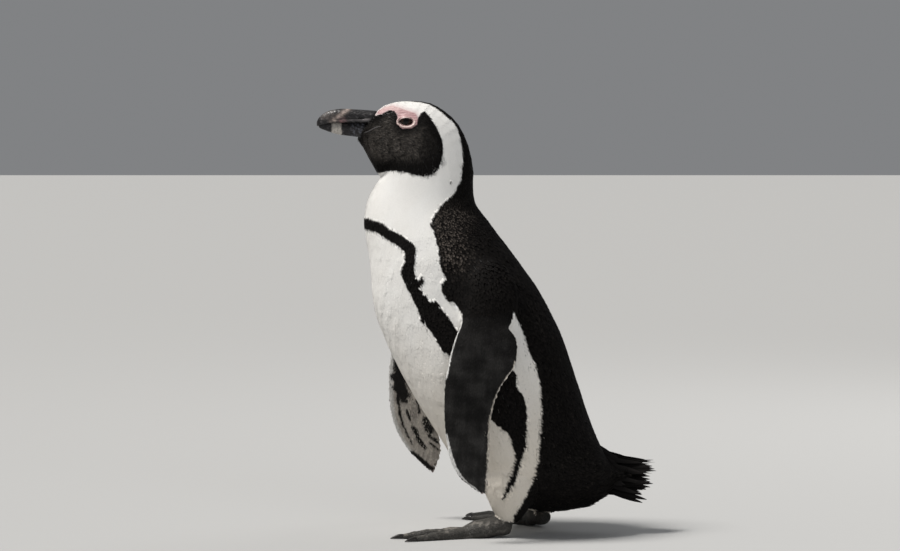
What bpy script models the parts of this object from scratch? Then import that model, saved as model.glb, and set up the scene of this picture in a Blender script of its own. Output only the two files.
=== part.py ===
"""African penguin, life size, standing in mid-stride, as a still museum model.

The bird faces -Y, its left side is +X and the floor is Z = 0. The sizes are in millimetres
along the bird's own midline, and MM turns them into Blender's metres. The trunk, neck and
head are one loft through ribs, parted by thin flat cuts. Everything hangs from one empty,
which puts the middle of the bird's footprint at the origin.
"""
import math
from collections import namedtuple

import bmesh
import bpy
from mathutils import Matrix, Vector

MM = 0.001
GAP = 0.3                       # clearance between neighbouring pieces
CENTRING = (19.1, -5.1, 0.0)    # midline to the middle of the footprint

# A rib joins the front of the bird to its back, seen from the side: (y, z) of both ends, the
# half width, how far the widest place lies towards the back, and how square the section is.
Rib = namedtuple("Rib", "front back half_width widest square")
RIBS = {
    "bill_base": Rib((-141.0, 413.5), (-119.5, 443.0), 10.0, 0.00, 2.3),
    "lores": Rib((-134.5, 406.0), (-111.0, 449.5), 15.0, -0.05, 2.2),
    "brow": Rib((-128.2, 394.5), (-97.0, 453.5), 21.5, -0.12, 2.3),
    "eye": Rib((-122.8, 385.0), (-82.0, 454.0), 26.0, -0.14, 2.4),
    "cheek": Rib((-118.5, 377.5), (-64.0, 452.0), 29.5, -0.12, 2.4),
    "crown": Rib((-115.5, 374.0), (-48.5, 444.0), 31.5, -0.08, 2.3),
    "nape": Rib((-118.0, 370.0), (-33.5, 430.0), 33.0, -0.04, 2.2),
    "neck_top": Rib((-125.0, 361.0), (-22.5, 407.5), 35.0, 0.00, 2.1),
    "neck": Rib((-131.5, 347.5), (-17.0, 380.0), 39.0, 0.00, 2.1),
    "neck_base": Rib((-134.0, 328.0), (-16.5, 350.5), 45.5, 0.00, 2.1),
    "withers": Rib((-132.5, 310.0), (-4.0, 332.0), 53.5, 0.02, 2.1),
    "breast": Rib((-127.5, 282.5), (20.0, 300.5), 64.0, 0.04, 2.2),
    "shoulder": Rib((-126.0, 244.5), (53.5, 254.0), 70.5, 0.05, 2.2),
    "back": Rib((-112.5, 202.0), (80.0, 200.0), 75.0, 0.04, 2.2),
    "belly": Rib((-83.5, 145.0), (97.0, 146.0), 79.0, 0.02, 2.2),
    "loin": Rib((-55.5, 101.0), (112.5, 103.0), 79.0, 0.00, 2.2),
    "vent": Rib((-32.0, 64.0), (125.5, 85.0), 72.0, -0.02, 2.2),
    "rump": Rib((-4.0, 38.0), (139.0, 76.5), 60.0, 0.00, 2.2),
    "rump_end": Rib((46.0, 21.0), (151.0, 73.0), 45.0, 0.00, 2.2),
    "tail_root": Rib((100.0, 25.5), (160.5, 71.0), 30.0, 0.00, 2.2),
    "tail_coverts": Rib((133.0, 34.0), (168.0, 66.0), 21.0, 0.00, 2.2),
}
BODY_SIDES = 32
RINGS_PER_RIB = 2
# The cuts that part the body, and the piece that ends at each.
CUTS = (("head", "neck_top"), ("neck", "withers"), ("breast", "shoulder"),
        ("trunk", "rump"), ("rump", "tail_root"))

EYE_CENTRE = (17.6, -88.3, 432.2)   # left eye, from the midline
EYE_RADIUS = 8.5
EYE_SEGMENTS, EYE_RINGS = 16, 9

# Both halves of the bill: y, then the culmen, the cutting edge and the half width of the
# upper half, and the same edge, the keel and the half width of the lower half.
UPPER_BILL = ((-112.0, 442.5, 430.7, 11.5), (-125.0, 443.8, 431.0, 10.3), (-141.0, 444.8, 431.2, 9.0),
              (-156.0, 445.5, 431.0, 8.0), (-168.5, 443.4, 430.2, 6.4), (-176.0, 439.4, 428.6, 4.4),
              (-180.0, 435.4, 427.2, 2.8), (-181.8, 431.4, 427.6, 1.2))
LOWER_BILL = ((-112.0, 430.2, 412.0, 10.8), (-128.0, 430.5, 414.0, 9.8), (-143.0, 430.7, 416.4, 8.6),
              (-156.0, 430.5, 418.0, 7.4), (-165.0, 429.9, 420.2, 5.8), (-172.0, 428.3, 423.4, 4.0),
              (-176.5, 427.0, 425.6, 2.0))
BILL_SIDES = 12
BILL_RINGS_PER_ROW = 2
BILL_ROUNDNESS = 0.75           # 1 for a true half ellipse, less for a squarer bill

# A flipper's outline: distance from the shoulder, front edge, back edge and thickness. The
# right one is held spread, with a fuller blade towards its tip.
FLIPPER_ROOT = ((0.0, -14.0, 8.0, 13.0), (26.0, -28.5, 14.0, 12.0), (50.0, -37.0, 27.0, 10.5),
                (66.0, -42.0, 28.5, 9.5), (82.0, -45.5, 25.0, 8.6), (95.0, -47.5, 15.0, 8.0),
                (112.0, -48.7, 6.5, 7.0))
FLIPPER_BLADES = {
    "left": ((135.0, -48.5, 0.8, 6.0), (160.0, -46.0, -0.6, 5.0), (180.0, -41.0, -1.6, 4.2),
             (196.0, -30.0, -2.5, 3.2), (209.0, -12.0, -4.5, 2.0)),
    "right": ((135.0, -49.0, 4.0, 6.0), (160.0, -47.8, 7.0, 5.0), (180.0, -41.5, 9.5, 4.2),
              (197.0, -28.5, 3.8, 3.2), (209.0, -8.5, -4.5, 2.0)),
}
FLIPPER_SIDES = 12
FLIPPER_RINGS_PER_ROW = 2
FLIPPER_BOW = 8.0               # how far it curves out round the flank
FLIPPER_EDGE = 0.7              # least thickness, at the trailing edge
# Shoulder place, angle away from the body and swing forward in degrees, and how far the
# tip curves back.
FlipperPose = namedtuple("FlipperPose", "shoulder away forward curl")
FLIPPER_POSES = {
    "left": FlipperPose((68.0, 0.0, 260.0), 9.0, 0.0, 0.0),
    "right": FlipperPose((62.0, -42.0, 258.0), 15.0, 18.0, 53.0),
}

# A leg is round feathered trousers: height, then half width and half depth.
LEG = ((92.0, 26.0, 34.0), (70.0, 29.0, 36.0), (48.0, 26.0, 30.0), (32.0, 19.0, 22.0),
       (23.0, 13.5, 16.0), (17.5, 9.5, 11.5))
LEG_SIDES = 16
LEG_LEAN = 0.10                 # the shank leans back as it rises, and half as much inwards
LEG_BEHIND_ANKLE = 4.0
# Ankle place and the angle that the toes turn out.
FootPose = namedtuple("FootPose", "ankle out")
FOOT_POSES = {"left": FootPose((43.0, 15.0), 10.0), "right": FootPose((41.0, 56.0), 49.0)}
# The foot, from its ankle at the origin and toes ahead. Each toe, from the inner side: its
# angle from the foot's middle, length and base radius.
TOES = {"inner": (20.0, 62.0, 5.4), "middle": (2.0, 77.0, 6.2), "outer": (-17.0, 70.0, 5.6)}
TOE_SIDES = 8
TOE_ROOT = 30.0                 # from the ankle to where the toes part
TOE_TIP_RADIUS = 3.0
# Along a toe: share of its length and of its base radius, with a pad at each joint.
TOE_PADS = ((-0.22, 1.05), (0.0, 1.12), (0.2, 0.98), (0.36, 1.02), (0.5, 0.84), (0.68, 0.86),
            (0.84, 0.66))
SOLE_FLAT = 0.7                 # how much of each toe's underside is pressed flat
# The shank from the ankle to where the toes part: (y, z) and radius, a little flattened.
TARSUS = ((6.0, 9.0, 8.0), (1.0, 10.5, 10.5), (-9.0, 11.5, 12.0), (-19.0, 9.5, 12.0),
          (-31.0, 7.0, 12.5), (-42.0, 4.5, 9.0))
TARSUS_SIDES = 14
TARSUS_FLATNESS = 0.86
# The small toe on the inner side of the ankle: its two ends and the radii along it.
HIND_TOE = ((5.0, -6.0, 8.0), (13.0, -11.2, 3.2))
HIND_TOE_RADII = (3.1, 2.9, 2.6, 2.0)
HIND_TOE_SIDES = 8
WEB_ROOT = (6.0, -16.0)         # half width and place of the web's back edge
WEB_TOP = 2.0
WEB_SHORT_OF_TIP = 4.0
WEB_SCALLOP = 9.0               # how far its front edge curves in between two toes
CLAW_LENGTH = 13.0
# Along a claw: share of its length and its radius.
CLAW = ((0.0, 2.5), (0.25, 2.5), (0.5, 2.05), (0.75, 1.4), (1.0, 0.4))
CLAW_SIDES = 8
CLAW_ARCH = 1.3
CLAW_CLEARANCE = 0.2            # its tip over the floor

# The tail: layers of stiff vanes from the top down, fanned to each side like a low roof.
Vanes = namedtuple("Vanes", "count length spread height rise droop")
TAIL_LAYERS = (Vanes(7, 49.0, 18.0, 64.0, 9.0, 10.0), Vanes(9, 70.0, 27.0, 58.0, -1.0, 13.0),
               Vanes(7, 47.0, 22.0, 49.0, -9.0, 4.0))
# Along a vane: share of its length and of its half width.
VANE_SHAPE = ((0.0, 0.8), (0.35, 1.0), (0.75, 0.92), (1.0, 0.3))
VANE_WIDTH = 13.0
VANE_THICKNESS = 5.0
VANE_SIDES = 6
VANE_ROOTS = 9.0                # half width of the row of roots
VANE_ROOF = 3.0                 # how much lower the outer roots lie
VANE_STAGGER = 0.7              # every other vane lies this much higher
OUTER_VANE_SHORTER = 0.14
TAIL_START_Y = 122.0
TAIL_INSET = 30.0               # how far the vanes' roots reach into the rump before the cut

PLUMAGE = {"head": "black_feather", "neck": "black_feather", "breast": "white_feather",
           "trunk": "black_feather", "rump": "black_feather", "tail": "black_feather"}
SIDES = (("left", 1), ("right", -1))

FINISHES = {    # colour, roughness
    "black_feather": ((0.022, 0.021, 0.022), 0.62),
    "white_feather": ((0.86, 0.84, 0.80), 0.70),
    "flipper_feather": ((0.055, 0.057, 0.062), 0.55),
    "bill_horn": ((0.045, 0.042, 0.042), 0.38),
    "foot_skin": ((0.085, 0.078, 0.074), 0.60),
    "claw_horn": ((0.030, 0.026, 0.024), 0.35),
    "eye": ((0.030, 0.018, 0.012), 0.06),
}


def clear_scene():
    for obj in list(bpy.data.objects):
        bpy.data.objects.remove(obj)


def collection(name):
    made = bpy.data.collections.new(name)
    bpy.context.scene.collection.children.link(made)
    return made


def make_finishes():
    made = {}
    for name, (colour, roughness) in FINISHES.items():
        material = bpy.data.materials.new(name)
        material.use_nodes = True
        shader = material.node_tree.nodes["Principled BSDF"]
        shader.inputs["Base Color"].default_value = (*colour, 1.0)
        shader.inputs["Roughness"].default_value = roughness
        material.diffuse_color = (*colour, 1.0)
        made[name] = material
    return made


def add_object(name, mesh, group, finish=None):
    obj = bpy.data.objects.new(name, mesh)
    group.objects.link(obj)
    if finish:
        mesh.materials.append(finish)
        mesh.shade_smooth()
        mesh.set_sharp_from_angle(angle=math.radians(50))
    return obj


def curve_through(rows, t):
    """Catmull-Rom through rows of numbers, at t measured in rows."""
    i = min(int(t), len(rows) - 2)
    f = t - i
    before, here, there, after = (rows[max(0, min(len(rows) - 1, i + k))] for k in (-1, 0, 1, 2))
    return [0.5 * (2 * b + (c - a) * f + (2 * a - 5 * b + 4 * c - d) * f ** 2
                   + (3 * b - a - 3 * c + d) * f ** 3)
            for a, b, c, d in zip(before, here, there, after)]


def finer(rows, steps):
    """The rows with steps - 1 smooth rows between each two."""
    return [curve_through(rows, i / steps) for i in range((len(rows) - 1) * steps + 1)]


def loft(name, rings):
    """A closed mesh through rings of equally many points, in millimetres, with flat ends.

    Its faces are triangles, so that pieces cut from one surface keep the same facets.
    """
    bm = bmesh.new()
    loops = [[bm.verts.new(Vector(p) * MM) for p in ring] for ring in rings]
    for one, two in zip(loops, loops[1:]):
        for i in range(len(one)):
            j = (i + 1) % len(one)
            bm.faces.new((one[i], one[j], two[j], two[i]))
    bm.faces.new(loops[0][::-1])
    bm.faces.new(loops[-1])
    bmesh.ops.recalc_face_normals(bm, faces=bm.faces)
    bmesh.ops.triangulate(bm, faces=bm.faces)
    mesh = bpy.data.meshes.new(name)
    bm.to_mesh(mesh)
    bm.free()
    return mesh


def joined(name, pieces, group):
    """One mesh from the union of overlapping meshes, without their helper objects."""
    base = add_object(name + "_base", pieces[0], group)
    helpers = []
    for number, piece in enumerate(pieces[1:]):
        helper = add_object(f"{name}_add_{number}", piece, group)
        join = base.modifiers.new("Join", "BOOLEAN")
        join.operation = "UNION"
        join.object = helper
        helpers.append(helper)
    bpy.context.view_layer.update()
    graph = bpy.context.evaluated_depsgraph_get()
    mesh = bpy.data.meshes.new_from_object(base.evaluated_get(graph))
    mesh.name = name
    for helper in helpers + [base]:
        bpy.data.objects.remove(helper)
    return mesh


def cut_flat(mesh, place, normal):
    """Removes what lies on the side that normal points to, and closes the cut."""
    bm = bmesh.new()
    bm.from_mesh(mesh)
    geometry = bm.verts[:] + bm.edges[:] + bm.faces[:]
    cut = bmesh.ops.bisect_plane(bm, geom=geometry, plane_co=Vector(place) * MM,
                                 plane_no=normal, clear_outer=True)
    edges = [e for e in cut["geom_cut"] if isinstance(e, bmesh.types.BMEdge)]
    bmesh.ops.contextual_create(bm, geom=edges)
    bmesh.ops.recalc_face_normals(bm, faces=bm.faces)
    bm.to_mesh(mesh)
    bm.free()


def cut_away(obj, cutter):
    cut = obj.modifiers.new("Cut", "BOOLEAN")
    cut.operation = "DIFFERENCE"
    cut.object = cutter


# ---- trunk, neck and head ----

def rib_ring(front, back, half_width, widest, square):
    """The points of one rib: a rounded section that leans as the line from front to back does."""
    front, back = Vector((0, *front)), Vector((0, *back))
    middle, reach = (front + back) / 2, (back - front) / 2
    ring = []
    for i in range(BODY_SIDES):
        angle = 2 * math.pi * i / BODY_SIDES
        c, s = math.cos(angle), math.sin(angle)
        c = math.copysign(abs(c) ** (2 / square), c)
        s = math.copysign(abs(s) ** (2 / square), s)
        ring.append(middle + reach * (c + widest * s * s) + Vector((half_width * s, 0, 0)))
    return ring


def body_mesh():
    rows = [(*rib.front, *rib.back, rib.half_width, rib.widest, rib.square) for rib in RIBS.values()]
    rings = [rib_ring(row[0:2], row[2:4], *row[4:]) for row in finer(rows, RINGS_PER_RIB)]
    return loft("body", rings)


def cut_plane(rib_name):
    """The plane of a rib: a place on it and the way along the body, from head to tail."""
    rib = RIBS[rib_name]
    front, back = Vector((0, *rib.front)), Vector((0, *rib.back))
    along = (back - front).cross(Vector((1, 0, 0))).normalized()
    return (front + back) / 2, along


def body_pieces():
    """The body's whole loft, and its pieces down to the tail as {name: mesh}."""
    whole = body_mesh()
    pieces, start = {}, None
    for name, end in CUTS:
        mesh = whole.copy()
        if start:
            place, along = cut_plane(start)
            cut_flat(mesh, place + along * GAP / 2, -along)
        place, along = cut_plane(end)
        cut_flat(mesh, place - along * GAP / 2, along)
        pieces[name] = mesh
        start = end
    return whole, pieces


# ---- eyes and bill ----

def eye_mesh(name, centre):
    """The eyeball, its poles to the sides."""
    bm = bmesh.new()
    bmesh.ops.create_uvsphere(bm, u_segments=EYE_SEGMENTS, v_segments=EYE_RINGS,
                              radius=EYE_RADIUS * MM)
    bmesh.ops.rotate(bm, verts=bm.verts, matrix=Matrix.Rotation(math.radians(90), 3, "Y"))
    bmesh.ops.translate(bm, verts=bm.verts, vec=Vector(centre) * MM)
    mesh = bpy.data.meshes.new(name)
    bm.to_mesh(mesh)
    bm.free()
    return mesh


def bill_mesh(name, rows):
    """Half of the bill: a D-shaped section, flat along the cutting edge."""
    rings = []
    for y, ridge, edge, half_width in finer(rows, BILL_RINGS_PER_ROW):
        ring = []
        for i in range(BILL_SIDES + 1):
            angle = math.pi * i / BILL_SIDES
            across = math.copysign(abs(math.cos(angle)) ** BILL_ROUNDNESS, math.cos(angle))
            up = math.sin(angle) ** BILL_ROUNDNESS
            ring.append((half_width * across, y, edge + (ridge - edge) * up))
        rings.append(ring)
    mesh = loft(name, rings)
    place, along = cut_plane("bill_base")
    cut_flat(mesh, place - along * GAP, along)
    return mesh


# ---- flippers ----

def foil(share):
    """Thickness of a flipper's section at a share of its width, 1 at the thickest.

    It is the usual wing section, blunt in front and thin behind.
    """
    return (2.969 * math.sqrt(share) - 1.26 * share - 3.516 * share ** 2
            + 2.843 * share ** 3 - 1.036 * share ** 4)


def flipper_mesh(side):
    sign = 1 if side == "left" else -1
    outline = FLIPPER_ROOT + FLIPPER_BLADES[side]
    length = outline[-1][0]
    rings = []
    for along, front, back, thickness in finer(outline, FLIPPER_RINGS_PER_ROW):
        bow = FLIPPER_BOW * math.sin(math.pi * along / length)
        curl = FLIPPER_POSES[side].curl * (along / length) ** 2
        ring = []
        for i in range(FLIPPER_SIDES):
            angle = 2 * math.pi * (i + 0.5) / FLIPPER_SIDES
            share = (1 - math.cos(angle)) / 2
            half = max(thickness * foil(share), FLIPPER_EDGE) / 2
            ring.append((sign * (bow + half * (1 if angle < math.pi else -1)),
                         front + (back - front) * share + curl, -along))
        rings.append(ring)
    return loft("flipper_" + side, rings)


def flipper_matrix(side):
    pose = FLIPPER_POSES[side]
    sign = 1 if side == "left" else -1
    x, y, z = pose.shoulder
    return (Matrix.Translation(Vector((sign * x, y, z)) * MM)
            @ Matrix.Rotation(-sign * math.radians(pose.away), 4, "Y")
            @ Matrix.Rotation(-math.radians(pose.forward), 4, "X"))


# ---- legs and feet ----

def leg_mesh(side):
    sign = 1 if side == "left" else -1
    x, y = FOOT_POSES[side].ankle
    turns = [2 * math.pi * i / LEG_SIDES for i in range(LEG_SIDES)]
    rings = []
    for z, half_width, half_depth in finer(LEG, 2):
        lean = LEG_LEAN * (z - LEG[-1][0])
        middle_x, middle_y = x - lean / 2, y + LEG_BEHIND_ANKLE + lean
        rings.append([(sign * middle_x + half_width * math.cos(turn),
                       middle_y + half_depth * math.sin(turn), z) for turn in turns])
    return loft("leg_" + side, rings)


def tube(name, points, radii, sides, flat=1.0):
    """A tapered tube along points, its rings upright and as wide as the radii say."""
    rings = []
    for i, (point, radius) in enumerate(zip(points, radii)):
        ahead = Vector(points[min(i + 1, len(points) - 1)]) - Vector(points[max(i - 1, 0)])
        across = ahead.cross(Vector((0, 0, 1))).normalized()
        up = across.cross(ahead).normalized()
        rings.append([Vector(point) + radius * (across * math.cos(a) + up * flat * math.sin(a))
                      for a in (2 * math.pi * k / sides for k in range(sides))])
    return loft(name, rings)


def toe_line(angle, length):
    """Way of a toe over the floor and its two ends, from the foot's ankle at the origin."""
    turn = math.radians(angle)
    way = Vector((math.sin(turn), -math.cos(turn), 0))
    root = Vector((0, -TOE_ROOT, 0))
    return way, root, root + way * length


def toe_mesh(name, angle, length, radius):
    way, root, _ = toe_line(angle, length)
    points, radii = [], []
    for share, size in TOE_PADS + ((1.0, TOE_TIP_RADIUS / radius),):
        r = radius * size
        points.append(root + way * length * share + Vector((0, 0, r - SOLE_FLAT)))
        radii.append(r)
    return tube(name, points, radii, TOE_SIDES)


def web_mesh(name):
    """The webs between the toes: a thin fan, scalloped between the toe tips."""
    tips = [toe_line(angle, length - WEB_SHORT_OF_TIP)[2] for angle, length, _ in TOES.values()]
    half_width, back = WEB_ROOT
    outline = [Vector((half_width, back, 0))]
    for tip, after in zip(tips, tips[1:]):
        dip = (tip + after) / 2 + Vector((0, WEB_SCALLOP, 0))
        sag = Vector((0, WEB_SCALLOP / 6, 0))
        outline += [tip, tip.lerp(dip, 0.55) + sag, dip, after.lerp(dip, 0.55) + sag]
    outline += [tips[-1], Vector((-half_width, back, 0))]
    return loft(name, [[p + Vector((0, 0, z)) for p in outline] for z in (-SOLE_FLAT, WEB_TOP)])


def tarsus_mesh(name):
    """The short thick shank of the foot, from the ankle down to where the toes part."""
    points = [(0, y, z) for y, z, _ in TARSUS]
    return tube(name, points, [radius for _, _, radius in TARSUS], TARSUS_SIDES, TARSUS_FLATNESS)


def hind_toe_mesh(name):
    start, end = (Vector(place) for place in HIND_TOE)
    steps = len(HIND_TOE_RADII) - 1
    points = [start.lerp(end, k / steps) for k in range(steps + 1)]
    return tube(name, points, HIND_TOE_RADII, HIND_TOE_SIDES)


def foot_mesh(side, group):
    name = "foot_" + side
    pieces = [tarsus_mesh(name), hind_toe_mesh(name), web_mesh(name)]
    pieces += [toe_mesh(name, *sizes) for sizes in TOES.values()]
    mesh = joined(name, pieces, group)
    cut_flat(mesh, (0, 0, 0), Vector((0, 0, -1)))
    return mesh


def claw_mesh(name, angle, length):
    """An arched claw that starts just past its toe's end."""
    way, _, tip = toe_line(angle, length)
    points, radii = [], []
    for share, radius in CLAW:
        arch = CLAW_ARCH * math.sin(math.pi * share) * (1 - share)
        height = (TOE_TIP_RADIUS - SOLE_FLAT + arch) * (1 - share ** 2)
        height = max(height, radius + CLAW_CLEARANCE)
        points.append(tip + way * (GAP + CLAW_LENGTH * share) + Vector((0, 0, height)))
        radii.append(radius)
    return tube(name, points, radii, CLAW_SIDES)


def foot_matrix(side):
    """Turns a foot made for the left side out by its angle, and mirrors it for the right."""
    pose = FOOT_POSES[side]
    x, y = pose.ankle
    made = (Matrix.Translation(Vector((x, y, 0)) * MM)
            @ Matrix.Rotation(math.radians(pose.out), 4, "Z") @ Matrix.Scale(-1, 4, (1, 0, 0)))
    return made if side == "left" else Matrix.Scale(-1, 4, (1, 0, 0)) @ made


def placed(mesh, matrix):
    """The mesh moved by the matrix, facing out again if the matrix mirrors it."""
    mesh.transform(matrix)
    if matrix.determinant() < 0:
        mesh.flip_normals()
    return mesh


# ---- tail ----

def vane_mesh(number, start, way, length):
    """One stiff tail feather: a thin blade."""
    points, radii = [], []
    for share, size in VANE_SHAPE:
        points.append(start + way * length * share)
        radii.append(VANE_WIDTH / 2 * size)
    return tube(f"vane_{number}", points, radii, VANE_SIDES, VANE_THICKNESS / VANE_WIDTH)


def tail_mesh(whole_body, group):
    place, along = cut_plane("tail_root")
    coverts = whole_body.copy()
    cut_flat(coverts, place - along * TAIL_INSET, -along)
    pieces = [coverts]
    for layer in TAIL_LAYERS:
        for i in range(layer.count):
            side = 2 * i / (layer.count - 1) - 1        # -1 at the right edge, 1 at the left
            turn = math.radians(layer.spread * side)
            pitch = math.radians(layer.rise - layer.droop * side * side)
            way = Vector((math.sin(turn) * math.cos(pitch), math.cos(turn) * math.cos(pitch),
                          math.sin(pitch)))
            height = layer.height - VANE_ROOF * side * side + VANE_STAGGER * (i % 2)
            start = Vector((VANE_ROOTS * side, TAIL_START_Y, height))
            length = layer.length * (1 - OUTER_VANE_SHORTER * side * side)
            pieces.append(vane_mesh(len(pieces), start, way, length))
    mesh = joined("tail", pieces, group)
    cut_flat(mesh, place + along * GAP / 2, -along)
    return mesh


class Bird:
    """The bird's collections, its finishes and the empty that its pieces hang from."""

    def __init__(self):
        self.pieces, self.cutters = collection("penguin"), collection("cutters")
        self.finishes = make_finishes()
        self.stand_point = bpy.data.objects.new("stand_point", None)
        self.pieces.objects.link(self.stand_point)
        self.stand_point.location = Vector(CENTRING) * MM

    def add(self, name, mesh, finish):
        obj = add_object(name, mesh, self.pieces, self.finishes[finish])
        obj.parent = self.stand_point
        return obj

    def cutter(self, name, mesh):
        """A hidden copy of a mesh, grown by the clearance, to cut its neighbours with."""
        cutter = add_object(name + "_cutter", mesh.copy(), self.cutters)
        cutter.parent = self.stand_point
        swell = cutter.modifiers.new("Clearance", "DISPLACE")
        swell.strength = GAP * MM
        swell.mid_level = 0.0
        cutter.hide_render = True
        cutter.display_type = "WIRE"
        return cutter


def add_eyes(bird, head):
    x, y, z = EYE_CENTRE
    for side, sign in SIDES:
        mesh = eye_mesh("eye_" + side, (sign * x, y, z))
        bird.add("eye_" + side, mesh, "eye")
        cut_away(head, bird.cutter("eye_" + side, mesh))


def add_flippers(bird, body_cutter):
    for side, _ in SIDES:
        mesh = placed(flipper_mesh(side), flipper_matrix(side))
        flipper = bird.add("flipper_" + side, mesh, "flipper_feather")
        cut_away(flipper, body_cutter)


def add_legs(bird, body_cutter):
    for side, _ in SIDES:
        leg = bird.add("leg_" + side, leg_mesh(side), "white_feather")
        cut_away(leg, body_cutter)
        mesh = placed(foot_mesh(side, bird.cutters), foot_matrix(side))
        bird.add("foot_" + side, mesh, "foot_skin")
        cut_away(leg, bird.cutter("foot_" + side, mesh))
        for toe, (angle, length, _) in TOES.items():
            name = f"claw_{side}_{toe}"
            bird.add(name, placed(claw_mesh(name, angle, length), foot_matrix(side)), "claw_horn")


def build():
    clear_scene()
    bird = Bird()
    whole, pieces = body_pieces()
    flesh = {name: bird.add(name, mesh, PLUMAGE[name]) for name, mesh in pieces.items()}
    bird.add("tail", tail_mesh(whole, bird.cutters), PLUMAGE["tail"])
    body_cutter = bird.cutter("body", whole)
    add_eyes(bird, flesh["head"])
    add_flippers(bird, body_cutter)
    add_legs(bird, body_cutter)
    bird.add("bill_upper", bill_mesh("bill_upper", UPPER_BILL), "bill_horn")
    bird.add("bill_lower", bill_mesh("bill_lower", LOWER_BILL), "bill_horn")


build()
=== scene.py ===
"""African penguin, life size: the skin, plumage, bill, eyes, feet and tail over its solids.

The solids are the frame. This add-on dresses them: one skin takes the place of the flesh and the
feet, every feather is a small closed vane on it, and the bill, eyes and claws stay pieces of their
own.
"Own millimetres" are lengths from the point on the floor under the bird's midline: +X is its left
side, the bill points along -Y and +Z is up.
"""
import math
from collections import namedtuple
from contextlib import contextmanager

import bpy
import numpy as np
from bpy.props import FloatProperty, FloatVectorProperty, IntProperty, PointerProperty
from bpy.types import Operator, Panel, PropertyGroup
from mathutils import Matrix, Vector, kdtree
from mathutils.bvhtree import BVHTree

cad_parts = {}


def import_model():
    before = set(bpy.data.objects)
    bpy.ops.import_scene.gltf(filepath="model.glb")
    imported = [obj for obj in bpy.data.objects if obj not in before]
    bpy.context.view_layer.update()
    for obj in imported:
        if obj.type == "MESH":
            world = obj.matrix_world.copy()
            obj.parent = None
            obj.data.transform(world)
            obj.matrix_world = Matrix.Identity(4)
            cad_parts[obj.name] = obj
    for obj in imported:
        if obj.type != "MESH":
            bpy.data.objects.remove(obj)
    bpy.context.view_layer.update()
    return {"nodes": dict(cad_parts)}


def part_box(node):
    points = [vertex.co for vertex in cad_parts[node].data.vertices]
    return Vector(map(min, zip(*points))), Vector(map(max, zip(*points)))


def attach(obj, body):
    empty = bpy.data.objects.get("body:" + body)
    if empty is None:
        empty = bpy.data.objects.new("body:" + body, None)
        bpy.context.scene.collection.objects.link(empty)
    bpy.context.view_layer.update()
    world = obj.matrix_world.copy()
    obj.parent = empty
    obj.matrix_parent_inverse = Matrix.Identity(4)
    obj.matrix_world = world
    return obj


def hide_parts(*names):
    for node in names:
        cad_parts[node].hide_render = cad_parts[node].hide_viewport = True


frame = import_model()

bl_info = {
    "name": "African penguin",
    "version": (1, 0, 0),
    "blender": (4, 5, 0),
    "location": "3D View > Sidebar > Penguin",
    "description": "Dresses a standing African penguin in skin, feathers, bill, eyes and feet",
    "category": "Add Mesh",
}

MM = 0.001
BODY = "root"
SIDES = (("left", 1), ("right", -1))
EYE_PLACE = (-88.3, 432.2)      # own y and z of both eyes' centres
LID_OUTER = (10.1, 6.5)         # half width and half height of the bare ring round an eye
LID_OPENING = (6.4, 3.65)       # and of the opening in it
FLESH = ("head", "neck", "breast", "trunk", "rump", "tail", "leg_left", "leg_right",
         "flipper_left", "flipper_right", "foot_left", "foot_right")
FLIPPERS = (FLESH.index("flipper_left"), FLESH.index("flipper_right"))
FEET = (FLESH.index("foot_left"), FLESH.index("foot_right"))
SHOULDER_LEVEL = 236.0          # own height under which the flippers wear their own plumage
MERGE_SOLIDS, MERGE_LIDS = 0.01, 0.02       # vertices nearer than this become one
SKIN_VOXEL, BILL_VOXEL, CLAW_VOXEL = 0.95, 0.4, 0.36
FLIPPER_DEPTH = 0.28            # from the skin to the feather tips on the flippers
SOCKET_DEPTH = 4.5              # how far the skin sinks behind an eyeball
SOLE_LEVEL = 0.45               # the skin below this height is flat on the floor
BARE_LEVEL = 15.0               # and below this one it has no feathers

ROOTS_TRIED = 3.2               # places tried for each feather that fits
MARKING_AT = 0.75               # share of a feather's length at which it takes its marking
PATCH = 0.003                   # side of each feather's patch in the bake map
SEEDS = {"roots": 3, "body": 100, "legs": 120, "flippers": 200, "tail": 7, "tail_lie": 8}

# Shoulder pads: own place of each one's middle and its tilt in degrees, and half sizes of both.
SHOULDER_PADS = (((64.5, -4.0, 247.0), -9.0), ((-61.5, -44.0, 245.0), 15.0))
PAD_SIZE = (14.0, 33.0, 46.0)
PAD_REACH = (36.0, 60.0, 70.0)  # how far from a pad's middle the skin is blended
SOFTENING = (110, 60, 36)       # passes over the shoulders, the torso, and the legs and chin

# The line down the middle of the body that its feathers follow, from bill to tail: own y, z.
AXIS = ((-134, 429), (-122, 428), (-112, 424), (-102, 419), (-91, 414), (-82, 408), (-76, 400),
        (-74, 384), (-74, 364), (-75, 340), (-68, 321), (-54, 291), (-36, 249), (-16, 201),
        (7, 146), (28, 102), (47, 74), (68, 57), (98, 47), (130, 49), (178, 54))

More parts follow.
